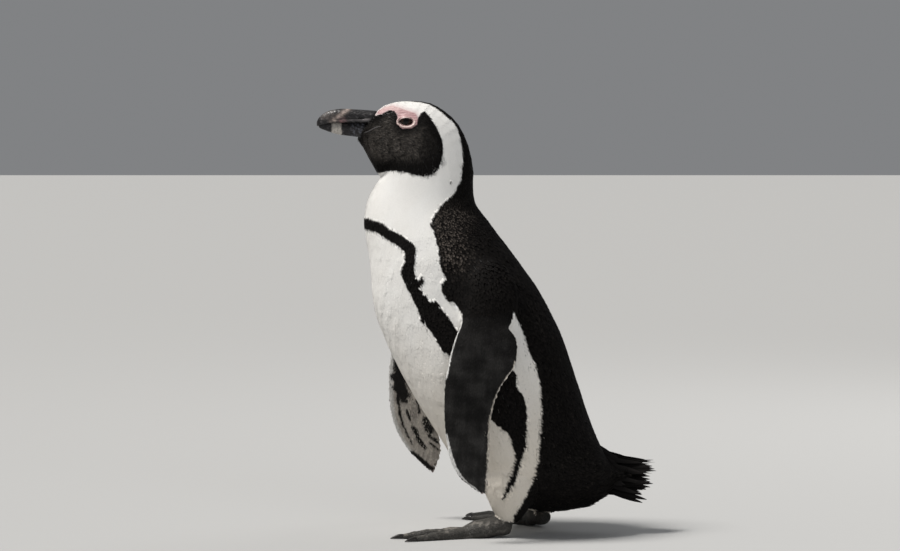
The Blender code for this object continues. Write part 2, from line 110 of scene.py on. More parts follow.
# Markings seen from the side, each an outline of own y and z.
MASK = ((-150, 448), (-119, 438), (-112, 441), (-107, 444), (-100, 443.5), (-97, 439), (-96, 432),
        (-92, 426), (-87, 425), (-80.5, 428), (-76.5, 433.5), (-72, 441), (-68.5, 443), (-65, 439),
        (-61, 434.5), (-54.5, 423), (-49.5, 411), (-49, 400), (-50.5, 392), (-54.5, 380.5),
        (-61, 376.5), (-69, 374), (-79.5, 376.5), (-90, 379.5), (-104, 380.5), (-117, 378),
        (-150, 368))
BARE = ((-118.5, 439.5), (-117, 443), (-111, 446.5), (-102.5, 448.5), (-94, 446), (-86, 443),
        (-78, 440.5), (-75.5, 436), (-76.5, 429), (-82, 425), (-92, 424.5), (-97.5, 429),
        (-97.5, 438), (-99.5, 442.5), (-105, 444), (-109, 442.5), (-114, 439.5))
BACK = ((-78, 470), (-78, 453.5), (-68, 451), (-52.5, 445.5), (-42, 435.5), (-35, 425),
        (-30.5, 410.5), (-28.5, 392), (-30.5, 371), (-38, 357.5), (-45, 351), (-52.5, 344),
        (-58.5, 334.5), (-63, 325), (-59.5, 319), (-56.5, 308.5), (-53.5, 296), (-53.5, 286),
        (-50, 276.5), (-46, 269.5), (-51, 265), (-51, 257), (-45, 247), (-37, 244.5),
        (-31.5, 236.5), (-28, 230), (-14, 228), (2, 231), (14, 234), (24, 235), (32, 218),
        (39, 195.5), (46, 180), (50.5, 162.5), (52.5, 137), (50.5, 105), (49, 83.5), (45, 64),
        (38, 48), (31, 33.5), (24, 23), (24, 0), (260, 0), (260, 470))
BAND = ((-160, 331), (-131, 331.5), (-119, 329), (-111, 326), (-103, 320), (-92.5, 315),
        (-83, 308.5), (-78, 304.5), (-77, 295), (-79, 282), (-76, 268.5), (-70, 274), (-68, 266),
        (-73, 259), (-67, 253), (-62.5, 246), (-56.5, 248), (-51, 239.5), (-45, 233), (-40, 226),
        (-33, 215), (-18, 202), (2, 190), (18, 181), (26.5, 172), (28, 158), (36, 145),
        (38, 127), (37, 113), (37, 98), (33, 86), (29.5, 73), (24.5, 58), (14, 41), (10, 39),
        (17, 57), (22.5, 72), (25.5, 86), (21.5, 99), (17, 112), (2, 122.5), (-10, 138), (-26, 163),
        (-41, 190), (-49, 194), (-54.5, 203.5), (-62.5, 216), (-72, 226), (-75, 236.5),
        (-80, 246), (-85.5, 258), (-90.5, 267), (-94, 277), (-88.5, 289), (-89.5, 297),
        (-98, 303.5), (-109, 310.5), (-119, 316), (-131, 318), (-160, 318))
CROWN = ((-85, 0), (-79, 3.5), (-72, 6), (-62, 8.5), (-52, 11), (-40, 13))    # y, half width
FAR_ROOT = ((-70, 285), (-82, 246), (-70, 226), (-46, 214), (-14, 212), (14, 222), (32, 236),
            (20, 285))
NECK_SPOT = (-41.0, 368.0, 1.4)     # own y, z and radius of one dark spot on the left side

# The front of the head's flesh, where the bill starts: own y and z of its lower and upper end.
BILL_BASE = ((-141.0, 413.5), (-119.5, 443.0))

# The slanting end of the body's flesh at the tail: own y and z of a point on it, and its way out.
TAIL_END = ((138.0, 50.0), (0.97, -0.24))
TAIL_MIDDLE = 60.0      # own height of its middle

# Dark marks on the inner side of a flipper: share of the way down and millimetres behind its
# front edge, for both ends of the mark, and its radius.
INNER_MARKS = ((0.40, 12, 0.50, 13, 8.0), (0.50, 9, 0.60, 15, 7.0), (0.46, 22, 0.55, 24, 3.5),
               (0.60, 9, 0.70, 9.5, 1.5), (0.70, 9.5, 0.80, 10, 1.1), (0.80, 10, 0.86, 9, 1.4),
               (0.78, 20, 0.88, 20, 2.8), (0.74, 36, 0.79, 36, 4.5), (0.82, 33, 0.85, 38, 2.4),
               (0.86, 30, 0.89, 33, 1.5), (0.68, 18, 0.76, 20, 1.1), (0.92, 3, 0.99, 5, 4.0),
               (0.20, 14, 0.36, 20, 6.0), (0.62, 30, 0.69, 31, 1.4))

# Along a feather: share of its length and of its half width; its tip is a point.
VANE = ((0.0, 0.5), (0.52, 1.0), (0.85, 0.64))
SMALL_VANE = ((0.0, 0.5), (0.60, 1.0))


def bird_origin():
    """World place of the point on the floor that own millimetres are measured from."""
    corners = [corner for side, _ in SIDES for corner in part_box("eye_" + side)]
    middle = sum(corners, Vector()) / len(corners)
    return np.array(middle) - np.array((0.0, *EYE_PLACE)) * MM


ORIGIN = bird_origin()


def own(points):
    """Own millimetres of world places in metres."""
    return (np.asarray(points, float) - ORIGIN) / MM


def world(points):
    """World places in metres of own millimetres."""
    return np.asarray(points, float) * MM + ORIGIN


# ---- small helpers ----

def smoothstep(low, high, value):
    """Rises smoothly from 0 to 1 between two levels, or falls if the first is the higher one."""
    t = np.clip((value - low) / (high - low), 0.0, 1.0)
    return t * t * (3 - 2 * t)


def unit(vectors):
    length = np.linalg.norm(vectors, axis=-1, keepdims=True)
    return vectors / np.maximum(length, 1e-9)


def mix(one, other, share):
    """Colours between two others, by the share of the second at every point."""
    return one + (other - one) * np.asarray(share)[..., None]


def layered(colours, *layers):
    """Colours with others laid over them, each with its share at every point."""
    for layer, share in layers:
        colours = mix(colours, layer, share)
    return colours


def plateau(value, start, full, fall, end):
    """Rises from 0 to 1 between the first two levels and falls back between the last two."""
    return smoothstep(start, full, value) * (1 - smoothstep(fall, end, value))


def hump(value, middle, width):
    """1 at the middle, and falling off to both sides over this width."""
    return np.exp(-((value - middle) / width) ** 2)


def curve_through(rows, steps):
    """Catmull-Rom through rows of numbers, with this many steps between each two."""
    rows = np.asarray(rows, float)
    padded = np.vstack((2 * rows[0] - rows[1], rows, 2 * rows[-1] - rows[-2]))
    t = np.arange((len(rows) - 1) * steps + 1) / steps
    i = np.minimum(t.astype(int), len(rows) - 2)
    f = (t - i)[:, None]
    a, b, c, d = (padded[i + k] for k in range(4))
    return 0.5 * (2 * b + (c - a) * f + (2 * a - 5 * b + 4 * c - d) * f ** 2
                  + (3 * b - a - 3 * c + d) * f ** 3)


def depth_in(outline, y, z):
    """Distance from the edge of an outline: above 0 inside it and below 0 outside."""
    ring = np.asarray(outline, float)
    after = np.roll(ring, -1, axis=0)
    inside = np.zeros(len(y), bool)
    nearest = np.full(len(y), 1e9)
    for (y0, z0), (y1, z1) in zip(ring, after):
        if z0 != z1:
            crosses = (z0 > z) != (z1 > z)
            inside ^= crosses & (y < (y1 - y0) * (z - z0) / (z1 - z0) + y0)
        dy, dz = y1 - y0, z1 - z0
        share = np.clip(((y - y0) * dy + (z - z0) * dz) / (dy * dy + dz * dz), 0, 1)
        nearest = np.minimum(nearest, np.hypot(y - y0 - share * dy, z - z0 - share * dz))
    return np.where(inside, nearest, -nearest)


def waves(points, scale, seed, octaves=3):
    """Smooth even noise from -1 to 1 made of sines, the same at each run."""
    rng = np.random.default_rng(seed)
    total, size = np.zeros(len(points)), 0.0
    for octave in range(octaves):
        strength = 0.6 ** octave
        ways = unit(rng.normal(size=(5, 3))) * (2 * math.pi / scale * 1.9 ** octave)
        phase = rng.uniform(0, 2 * math.pi, 5)
        total += strength * np.sin(points @ ways.T + phase).sum(axis=1) / 2.6
        size += strength
    return np.clip(total / size, -1, 1)


def deselect_all():
    if bpy.context.mode != "OBJECT":
        bpy.ops.object.mode_set(mode="OBJECT")
    bpy.ops.object.select_all(action="DESELECT")


def make_active(obj):
    deselect_all()
    obj.select_set(True)
    bpy.context.view_layer.objects.active = obj


@contextmanager
def editing(obj, selection="SELECT"):
    """Edit mode on one object, with all of it selected, none of it, or what already was."""
    make_active(obj)
    bpy.ops.object.mode_set(mode="EDIT")
    if selection:
        bpy.ops.mesh.select_all(action=selection)
    yield
    bpy.ops.object.mode_set(mode="OBJECT")


def apply_modifier(obj, kind, **settings):
    make_active(obj)
    modifier = obj.modifiers.new(kind.title(), kind)
    for key, value in settings.items():
        setattr(modifier, key, value)
    bpy.ops.object.modifier_apply(modifier=modifier.name)


def copy_of_nodes(name, nodes):
    """One new object from copies of these CAD nodes' meshes, with their doubles merged."""
    deselect_all()
    for node in nodes:
        obj = bpy.data.objects.new(name + "_" + node, frame["nodes"][node].data.copy())
        obj.data.materials.clear()
        bpy.context.scene.collection.objects.link(obj)
        obj.select_set(True)
        if node == nodes[0]:
            bpy.context.view_layer.objects.active = joined = obj
    if len(nodes) > 1:
        bpy.ops.object.join()
    joined.name = joined.data.name = name
    with editing(joined):
        bpy.ops.mesh.remove_doubles(threshold=MERGE_SOLIDS * MM)
    return joined


def add_group(obj, name, weights):
    """A vertex group with these weights, in steps of a twentieth."""
    group = obj.vertex_groups.new(name=name)
    steps = np.round(np.clip(weights, 0, 1) * 20).astype(int)
    for step in np.unique(steps):
        if step:
            group.add(np.flatnonzero(steps == step).tolist(), step / 20, "REPLACE")
    return name


def read(items, name, width=1, kind=float):
    """What each item of a mesh holds under a name, as one array with rows of this width."""
    values = np.empty(len(items) * width, kind)
    items.foreach_get(name, values)
    return values.reshape(-1, width) if width > 1 else values


def add_attribute(mesh, name, kind, values, domain="POINT"):
    mesh.attributes.new(name, kind, domain).data.foreach_set("value", values)


def read_places(obj):
    """Own millimetres of the vertices, and their normals."""
    return own(read(obj.data.vertices, "co", 3)), read(obj.data.vertex_normals, "vector", 3)


def write_places(obj, places):
    obj.data.vertices.foreach_set("co", world(places).ravel())
    obj.data.update()


def blur(obj, values, times):
    """Averages a value over neighbouring vertices, this many times."""
    a, b = read(obj.data.edges, "vertices", 2, int).T
    size = len(values)
    degree = np.bincount(a, minlength=size) + np.bincount(b, minlength=size)
    for _ in range(times):
        total = np.bincount(a, values[b], size) + np.bincount(b, values[a], size)
        values = (values + total) / (1 + degree)
    return values


def read_triangles(obj):
    obj.data.calc_loop_triangles()
    return read(obj.data.loop_triangles, "vertices", 3, int)


def tree_of(obj):
    """A search tree over an object's surface, in own millimetres."""
    places, _ = read_places(obj)
    return BVHTree.FromPolygons(places.tolist(), read_triangles(obj).tolist())


def set_tint(mesh, colours):
    """Stores a colour for each vertex as the attribute that the materials read."""
    layer = mesh.attributes.get("tint") or mesh.attributes.new("tint", "FLOAT_COLOR", "POINT")
    data = np.ones((len(mesh.vertices), 4))
    data[:, :3] = np.clip(colours, 0, 1)
    layer.data.foreach_set("color", data.ravel())


def set_uv(mesh, places):
    layer = mesh.uv_layers.get("OFBake") or mesh.uv_layers.new(name="OFBake")
    layer.data.foreach_set("uv", places[read(mesh.loops, "vertex_index", kind=int)].ravel())


def finish_piece(obj, finish, replaces=()):
    """Gives a piece its material and its place in the frame."""
    obj.data.materials.clear()
    obj.data.materials.append(tinted_material(finish))
    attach(obj, BODY)
    if replaces:
        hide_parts(*replaces)


def finish_smooth(obj, colours, finish, replaces=()):
    """Colours a piece, shades it smooth and finishes it."""
    set_tint(obj.data, colours)
    make_active(obj)
    bpy.ops.object.shade_smooth()
    finish_piece(obj, finish, replaces)


def settings():
    return bpy.context.scene.penguin


# ---- materials ----

# Roughness, specular, sheen and coat of the surface; strength and size in millimetres of the
# grain in its colour, how much longer the grain is along Y, size of its scales and bump.
Finish = namedtuple("Finish", "roughness specular sheen coat grain size stretch scales bump")
FINISHES = {
    "body_plumage": Finish(0.62, 0.04, 0.0, 0.0, 0.10, 0.9, 1.0, 0, 0.10),
    "flipper_plumage": Finish(0.56, 0.06, 0.01, 0.0, 0.14, 1.4, 1.0, 0, 0.12),
    "bare_skin": Finish(0.46, 0.35, 0.0, 0.0, 0.14, 0.8, 1.0, 0, 0.40),
    "scaly_skin": Finish(0.55, 0.30, 0.0, 0.0, 0.30, 1.4, 1.0, 2.4, 1.0),
    "lid_skin": Finish(0.38, 0.40, 0.0, 0.10, 0.10, 0.6, 1.0, 0, 0.30),
    "bill_keratin": Finish(0.38, 0.40, 0.0, 0.08, 0.30, 0.9, 3.0, 0, 0.40),
    "claw_keratin": Finish(0.36, 0.42, 0.0, 0.12, 0.35, 1.2, 2.0, 0, 0.25),
    "wet_eye": Finish(0.05, 0.20, 0.0, 0.05, 0.02, 2.0, 1.0, 0, 0.0),
}
made_materials = {}


def feed(node, sockets):
    """Sets sockets of a shader node to values, or links other nodes' outputs to them."""
    for key, value in sockets.items():
        if isinstance(value, bpy.types.NodeSocket):
            node.id_data.links.new(value, node.inputs[key])
        else:
            node.inputs[key].default_value = value


def add_node(tree, kind, sockets, **properties):
    node = tree.nodes.new("ShaderNode" + kind)
    for key, value in properties.items():
        setattr(node, key, value)
    feed(node, sockets)
    return node.outputs


def tinted_material(name):
    """A finish that takes its colour from the piece's tint and varies it with fine grain."""
    if name in made_materials:
        return made_materials[name]
    finish = FINISHES[name]
    material = made_materials[name] = bpy.data.materials.new(name)
    material.use_nodes = True
    tree = material.node_tree
    shader = tree.nodes["Principled BSDF"]
    feed(shader, {"Roughness": finish.roughness, "Specular IOR Level": finish.specular,
                  "Coat Weight": finish.coat, "Coat Roughness": 0.08,
                  "Sheen Weight": finish.sheen, "Sheen Roughness": 0.5})
    tint = add_node(tree, "Attribute", {}, attribute_name="tint")
    place = add_node(tree, "TexCoord", {})["Object"]
    stretch = add_node(tree, "Mapping", {"Vector": place, "Scale": (1.0, 1 / finish.stretch, 1.0)})
    grain = add_node(tree, "TexNoise", {"Vector": stretch["Vector"], "Detail": 4.0,
                                        "Scale": 1.0 / (finish.size * MM)})["Fac"]
    tone = add_node(tree, "MapRange", {"Value": grain, "To Min": 1.0 - finish.grain,
                                       "To Max": 1.0 + finish.grain})
    shade = add_node(tree, "VectorMath", {0: tint["Color"], "Scale": tone["Result"]},
                     operation="SCALE")
    feed(shader, {"Base Color": shade["Vector"]})
    if finish.bump:
        height = add_scales(tree, place, grain, finish.scales) if finish.scales else grain
        bump = add_node(tree, "Bump", {"Strength": finish.bump, "Distance": 0.4 * MM,
                                       "Height": height})
        feed(shader, {"Normal": bump["Normal"]})
    return material


def add_scales(tree, place, grain, size):
    """Height of small flat scales with creases between them, roughened by the grain."""
    cells = add_node(tree, "TexVoronoi", {"Vector": place, "Scale": 1.0 / (size * MM)},
                     feature="DISTANCE_TO_EDGE")
    flat = add_node(tree, "MapRange", {"Value": cells["Distance"], "From Max": 0.22},
                    interpolation_type="SMOOTHSTEP")
    return add_node(tree, "Math", {0: grain, 1: 0.35, 2: flat["Result"]},
                    operation="MULTIPLY_ADD")["Value"]


# ---- settings ----

def length(name, description, default):
    return FloatProperty(name=name, description=description, default=default, min=0.0,
                         precision=5, subtype="DISTANCE", unit="LENGTH")


def colour(name, description, default):
    return FloatVectorProperty(name=name, description=description, default=default, size=3,
                               min=0.0, max=1.0, subtype="COLOR")


class PenguinSizes(PropertyGroup):
    """Lengths that shape the skin and the plumage."""

    coat_depth: length("Coat depth", "From the skin to the feather tips on the body", 0.0014)
    face_depth: length("Face depth", "From the skin to the feather tips on the face", 0.0008)
    face_spacing: length("Face spacing", "Between feathers on the face", 0.00084)
    crown_spacing: length("Crown spacing", "Between feathers on the crown and nape", 0.00100)
    breast_spacing: length("Breast spacing", "Between feathers on the neck and breast", 0.0013)
    body_spacing: length("Body spacing", "Between feathers on the trunk", 0.0017)
    leg_spacing: length("Leg spacing", "Between feathers on the legs", 0.0015)
    flipper_spacing: length("Flipper spacing", "Between feathers on the flippers", 0.0012)


class PenguinColours(PropertyGroup):
    """Colours of the plumage and the bare parts."""

    white: colour("White", "Breast, neck and head band", (0.80, 0.79, 0.765))
    # Cream is partly the lower body's own tint and partly painted shade.
    cream: colour("Cream", "Lower belly and legs", (0.67, 0.615, 0.535))
    black: colour("Black", "Back, chest band and tail", (0.0048, 0.0043, 0.0041))
    # The faded colour also serves the painted highlights on the cheek's tips and the back's
    # streaks.
    faded: colour("Faded tips", "Worn feather tips on the shoulders", (0.17, 0.145, 0.125))
    # Tripled, the mask colour is the brown-grey of the cheek mottling, partly painted highlights.
    mask: colour("Mask", "Cheeks and throat", (0.034, 0.0305, 0.0275))
    pink: colour("Bare skin", "Bare skin above the eye", (0.45, 0.25, 0.26))
    lid: colour("Eyelid", "Bare ring round the eye", (0.66, 0.52, 0.48))
    charcoal: colour("Flipper", "Outer side of the flippers", (0.0150, 0.0144, 0.0138))
    underwing: colour("Underwing", "Inner side of the flippers", (0.47, 0.435, 0.395))
    bill: colour("Bill", "Horn of the bill", (0.014, 0.013, 0.014))
    bill_scuff: colour("Bill scuffs", "Scuffed grey plates of the bill", (0.115, 0.105, 0.105))
    bill_band: colour("Bill band", "Pale upright band on the bill", (0.56, 0.52, 0.47))
    foot: colour("Foot", "Skin of the feet", (0.050, 0.047, 0.042))
    foot_patch: colour("Foot patches", "Pale patches on the feet", (0.19, 0.175, 0.155))
    claw: colour("Claw", "Horn of the claws", (0.016, 0.014, 0.013))
    iris: colour("Iris", "Iris of the eye", (0.016, 0.0085, 0.0055))


class PenguinStage(PropertyGroup):
    """Floor, lights and camera."""

    floor: colour("Floor", "Plain floor", (0.42, 0.42, 0.415))
    sky: FloatProperty(name="Sky", description="Strength of the even light", default=0.23, min=0)
    key: FloatProperty(name="Key light", description="Strength of the main light", default=3.9,
                       min=0)
    fill: FloatProperty(name="Fill lights", description="Power of the softer lights",
                        default=10.0, min=0, unit="POWER", subtype="POWER")
    camera_away: length("Camera distance", "From the camera to the bird's midline", 3.2)
    camera_height: length("Camera height", "Of the camera over the floor", 0.4158)
    focal_length: FloatProperty(name="Focal length", description="Of the lens", default=121.9,
                                min=1.0, subtype="DISTANCE_CAMERA", unit="CAMERA")
    floor_size: IntProperty(name="Floor size", description="Side of the floor in metres",
                            default=60, min=1, subtype="UNSIGNED")


class PenguinSettings(PropertyGroup):
    """All that the operators read."""

    sizes: PointerProperty(type=PenguinSizes)
    colours: PointerProperty(type=PenguinColours)
    stage: PointerProperty(type=PenguinStage)


# ---- markings ----

def palette():
    """The colours of the settings, as arrays."""
    return {name: np.array(getattr(settings().colours, name))
            for name in PenguinColours.__annotations__}


def on_eyelid(points, grow=0.0):
    """True where a point lies inside the bare ring round an eye."""
    y, z = EYE_PLACE
    across = ((points[:, 1] - y) / (LID_OUTER[0] + grow)) ** 2
    return (across + ((points[:, 2] - z) / (LID_OUTER[1] + grow)) ** 2 < 1) & (
        np.abs(points[:, 0]) > 8)


def markings(points, normals, jitter=0.0):
    """Colour of the plumage, how far its tips pale (worn on the mantle, painted highlights on the
    cheek and back), and how far off a marking's edge is.
    """
    paint = palette()
    x, y, z = points.T
    # The white turns cream towards the bottom: partly the lower belly's and legs' own soiled tint,
    # partly painted shade on the lower belly.
    soiled = 0.5 + 0.5 * waves(points, 34.0, 17)
    cream = 0.85 * (1 - smoothstep(60, 262, z)) + 0.12 * soiled
    colours = mix(paint["white"], paint["cream"], cream)
    flush = (1 - smoothstep(0, 6.0, -depth_in(BARE, y, z))) * (z > 436)
    flush *= smoothstep(1.5, 6.5, from_midline(points))
    colours = mix(colours, paint["pink"], 0.45 * flush)
    paler_share = np.zeros(len(points))
    spot = NECK_SPOT[2] - np.hypot(y - NECK_SPOT[0], z - NECK_SPOT[1]) + jitter * 0.4
    ragged = 0.9 * waves(points, 7.0, 18) - 0.4
    band = depth_in(BAND, y, z) + jitter + ragged
    back = depth_in(BACK, y, z) + jitter + 0.7 * ragged
    # The underside of the belly stays white, and so does the front of the right leg.
    under = (normals[:, 2] < -0.6) & (np.abs(x) < 24) & (y < 48) & (z < 62)
    far_low = (x < 0) & (z < 72) & (y < np.interp(z, (30, 72), (68, 50)))
    under |= far_low & (normals[:, 1] < 0.25)
    crown = np.interp(y, *np.array(CROWN, float).T) - np.abs(x) + jitter
    far_root = depth_in(FAR_ROOT, y, z) + jitter
    dark = ((back > 0) & ~under) | ((band > 0) & ~far_low) | ((spot > 0) & (x > 0))
    dark |= (crown > 0) & (z > 434) & (y < -40)
    dark |= (far_root > 0) & (x < 0)
    colours[dark] = paint["black"]
    # Worn brown tips lie on the mantle, and fewer paler tips lie in streaks down the back as
    # painted highlights.
    mantle = plateau(back, 0, 4, 16, 44)
    mantle *= plateau(z, 262, 296, 326, 360) * smoothstep(12, 40, abs(x))
    paler_share[dark] = (0.05 + 0.95 * mantle)[dark]
    streaks = smoothstep(0.25, 0.8, waves(points * (1, 1, 0.25), 9.0, 11))
    paler_share[dark] += (0.12 * streaks * smoothstep(4, 14, back) * (1 - smoothstep(200, 260, z)))[dark]
    mask = depth_in(MASK, y, z) + jitter * 0.7
    # The mask's paler feather tips are painted highlights.
    masked, mask_highlight_tips = mask_looks(points, mask)
    colours = np.where((mask > 0)[:, None], masked, colours)
    paler_share = np.where(mask > 0, mask_highlight_tips, paler_share)
    edge = np.min(np.abs((spot, band, back, crown, far_root, mask)), axis=0)
    return colours, np.clip(paler_share, 0, 1), edge


def mask_looks(points, mask):
    """Colour of the mask, mottled brown-grey on the cheek partly as painted highlights, and how far
    its feather tips pale as painted highlights.
    """
    paint = palette()
    _, y, z = points.T
    # The cheek's brown-grey rows are partly the mask's own tone and partly painted highlights on
    # its feather rows, left out towards the mask's bottom, edge and rear, by the eye and at the
    # bill base.
    cheek = smoothstep(1, 12, mask) * smoothstep(384, 402, z)
    cheek *= 1 - 0.8 * smoothstep(-78, -64, y)
    cheek *= 1 - 0.75 * smoothstep(-100, -96, y) * smoothstep(424, 432, z)
    cheek *= 0.25 + 0.75 * smoothstep(2, 16, -ahead_of_bill_base(points))
    bent = (points + 2.8 * waves(points, 14.0, 23)[:, None]) * (1, 0.42, 1.15)
    rows = 0.65 * waves(bent, 4.6, 5) + 0.45 * waves(bent, 2.7, 12)
    brown_and_highlight = cheek * np.clip(0.34 + 0.46 * rows, 0, 1)
    # Its paler feather tips are painted highlights.
    paler_share = 0.75 * cheek * smoothstep(-0.1, 0.5, waves(bent, 3.4, 6))
    return mix(paint["black"], paint["mask"] * 3.0, brown_and_highlight), paler_share


def from_midline(points):
    """Distance from the bird's midline, with a ragged edge."""
    return np.abs(points[:, 0]) + 1.2 * waves(points, 5.0, 19)


def bare_colours(points):
    """Pink of the bare skin over the eye, patchy, and paler at its top as a painted highlight."""
    paint = palette()
    flush = 0.5 + 0.5 * waves(points, 6.0, 21)
    # The paler top is a painted highlight.
    pale = smoothstep(441, 449, points[:, 2])
    pink = mix(paint["pink"] * 0.9, paint["lid"], 0.35 * flush + 0.35 * pale)
    return pink * (1 + 0.10 * waves(points, 1.6, 22))[:, None]


def skin_colours(points, normals, flesh, shapes):
    """Colour of the skin: that of the plumage over it, pink or grey where it is bare."""
    colours = markings(points, normals)[0]
    # Skin under dark plumage is darkened to half as painted shade under the feathers.
    colours = colours * np.where(colours[:, :1] < 0.2, 0.5, 1.0)
    bare = smoothstep(-0.8, 0.6, depth_in(BARE, points[:, 1], points[:, 2]))
    beside = smoothstep(3.0, 7.0, from_midline(points))
    colours = mix(colours, bare_colours(points), bare * beside)
    for number, shape in zip(FLIPPERS, shapes):
        colours[flesh == number] = palette()["black"]
        mine = (flesh == number) & in_own_plumage(points, flesh)
        colours[mine] = flipper_colours(points[mine], normals[mine], shape, 0.0)
    feet = np.isin(flesh, FEET)
    colours[feet] = foot_colours(points[feet], normals[feet])
    return colours


def foot_colours(points, normals):
    """Dark grey skin with paler worn patches, and darker still on the far foot as painted shade."""
    paint = palette()
    patches = smoothstep(0.10, 0.75, waves(points, 11.0, 95))
    top = smoothstep(0.1, 0.7, normals[:, 2])
    colours = mix(paint["foot"], paint["foot_patch"], patches * (0.35 + 0.4 * top))
    # The far foot is darkened as painted shade.
    far = points[:, 0] < 0
    colours[far] *= 0.7
    return colours * (1 + 0.28 * waves(points, 2.4, 96))[:, None]


# ---- flippers ----

FlipperShape = namedtuple("FlipperShape", "z front back middle sign")


def flipper_shape(places, sign):
    """Heights up a flipper, with the y of its edges and the x of its middle at each."""
    rows = []
    for level in np.arange(places[:, 2].min() + 1.0, SHOULDER_LEVEL + 24, 4.0):
        band = places[np.abs(places[:, 2] - level) < 2.6]
        rows.append((level, band[:, 1].min(), band[:, 1].max(), band[:, 0].mean()))
    return FlipperShape(*np.array(rows).T, sign)


def across_flipper(shape, points):
    """Share of the way down, and millimetres behind the front edge and before the back one."""
    down = (shape.z[-1] - points[:, 2]) / (shape.z[-1] - shape.z[0])
    behind = points[:, 1] - np.interp(points[:, 2], shape.z, shape.front)
    before = np.interp(points[:, 2], shape.z, shape.back) - points[:, 1]
    return down, np.maximum(behind, 0), np.maximum(before, 0)


def flipper_colours(points, normals, shape, jitter):
    """Charcoal outside with a thin pale rim, and pale with dark marks inside."""
    paint = palette()
    down, behind, before = across_flipper(shape, points)
    behind, before = behind + jitter, before + jitter
    long_way = (shape.z[-1] - shape.z[0]) * down
    mottle = smoothstep(-0.7, 0.9, waves(points * (1, 1, 0.7), 24.0, 41))
    outer = mix(paint["charcoal"] * 0.6, paint["charcoal"] * 1.9, mottle)
    outer *= (0.75 + 0.85 * smoothstep(0.55, 0.95, down))[:, None]
    outer = mix(paint["black"] * 1.1, outer, smoothstep(0.08, 0.36, down))
    rim = 1.7 + 2.4 * smoothstep(0.70, 0.88, down)
    pale_front = (behind < rim) & ((down < 0.44) | (down > 0.72)) & (down > 0.14)
    outer[pale_front] = paint["white"] * 0.75
    outer[(before < 1.5) & (down > 0.36)] = paint["cream"] * 0.55
    wrong = waves(points, 6.0, 44) * 1.2
    marked = np.full(len(points), -9.0)
    for *ends, radius in INNER_MARKS:
        ends = np.array(ends).reshape(2, 2) * (shape.z[-1] - shape.z[0], 1)
        run = ends[1] - ends[0]
        offset = np.column_stack((long_way, behind)) - ends[0]
        share = np.clip(offset @ run / (run @ run), 0, 1)
        gap = np.linalg.norm(offset - share[:, None] * run, axis=1)
        marked = np.maximum(marked, (radius - gap) / max(radius, 3.0) * 3.0)
    marked = marked + wrong + 1.4 * jitter
    streaks = smoothstep(-0.3, 0.8, waves(points * (1, 1, 0.3), 10.0, 43))
    inner = layered(paint["underwing"],
                    (paint["underwing"] * 0.66, streaks),
                    (paint["white"] * 0.75, 1 - smoothstep(2.0, 6.0, behind)),
                    (paint["pink"] * 0.35, smoothstep(0.95, 1.0, down) * 0.6),
                    (paint["charcoal"], smoothstep(-0.6, 0.4, marked)))
    faces_out = smoothstep(-0.15, 0.15, normals[:, 0] * shape.sign)
    return mix(inner, outer, faces_out)


def flipper_lie(shape, points, normals):
    """The way from a flipper's root to its tip along its surface."""
    slope = np.gradient((shape.front + shape.back) / 2, shape.z)
    lean = np.gradient(shape.middle, shape.z)
    way = -np.column_stack((np.interp(points[:, 2], shape.z, lean),
                            0.6 * np.interp(points[:, 2], shape.z, slope), np.ones(len(points))))
    return across_normals(way, normals)


# ---- the lie of the plumage ----

def axis_frame(points):
    """For each point: share of the way from bill to tail, angle round, and the way there."""
    line = curve_through(AXIS, 10)
    ways = unit(np.gradient(line, axis=0))
    run = np.concatenate(([0], np.cumsum(np.linalg.norm(np.diff(line, axis=0), axis=1))))
    near = np.empty(len(points), int)
    for start in range(0, len(points), 20000):
        part = points[start:start + 20000, None, 1:] - line[None]
        near[start:start + 20000] = (part ** 2).sum(axis=2).argmin(axis=1)
    offset = points[:, 1:] - line[near]
    way = ways[near]
    along = (run[near] + (offset * way).sum(axis=1)) / run[-1]
    around = np.arctan2(points[:, 0], offset[:, 0] * way[:, 1] - offset[:, 1] * way[:, 0])
    return np.clip(along, 0, 1), around, np.column_stack((np.zeros(len(points)), way))


def leg_share(points):
    """1 on the legs and 0 on the body above them."""
    share = np.zeros(len(points))
    for side, _ in SIDES:
        low, high = own(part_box("leg_" + side))
        middle = (low + high) / 2
        reach = np.hypot(points[:, 0] - middle[0], points[:, 1] - middle[1])
        share = np.maximum(share, (1 - smoothstep(26, 38, reach))
                           * (1 - smoothstep(38, 66, points[:, 2])))
    return share


def face_share(points):
    """1 on the face and 0 behind the head."""
    along, _, _ = axis_frame(points)
    return 1 - smoothstep(0.16, 0.30, along)


def plumage_depth(face):
    """Millimetres from the skin to the feather tips."""
    sizes = settings().sizes
    return (sizes.coat_depth + (sizes.face_depth - sizes.coat_depth) * face) / MM


def across_normals(ways, normals):
    """The ways with their part along the normals taken out, as unit vectors."""
    return unit(ways - (ways * normals).sum(axis=1)[:, None] * normals)


def body_lie(points, normals):
    """The way that the body's feathers point: along the bird, and down the legs."""
    _, _, way = axis_frame(points)
    down = np.array((0.0, 0.30, -0.95))
    return across_normals(mix(way, down, leg_share(points)), normals)


def body_unwrap(points):
    """The skin's own unwrap: round the body, and along it from bill to tail."""
    along, around, _ = axis_frame(points)
    return np.column_stack((around / (2 * math.pi) + 0.5, along))


# ---- feathers ----

Coat = namedtuple("Coat", "roots normals lie spacing unwrap flesh")


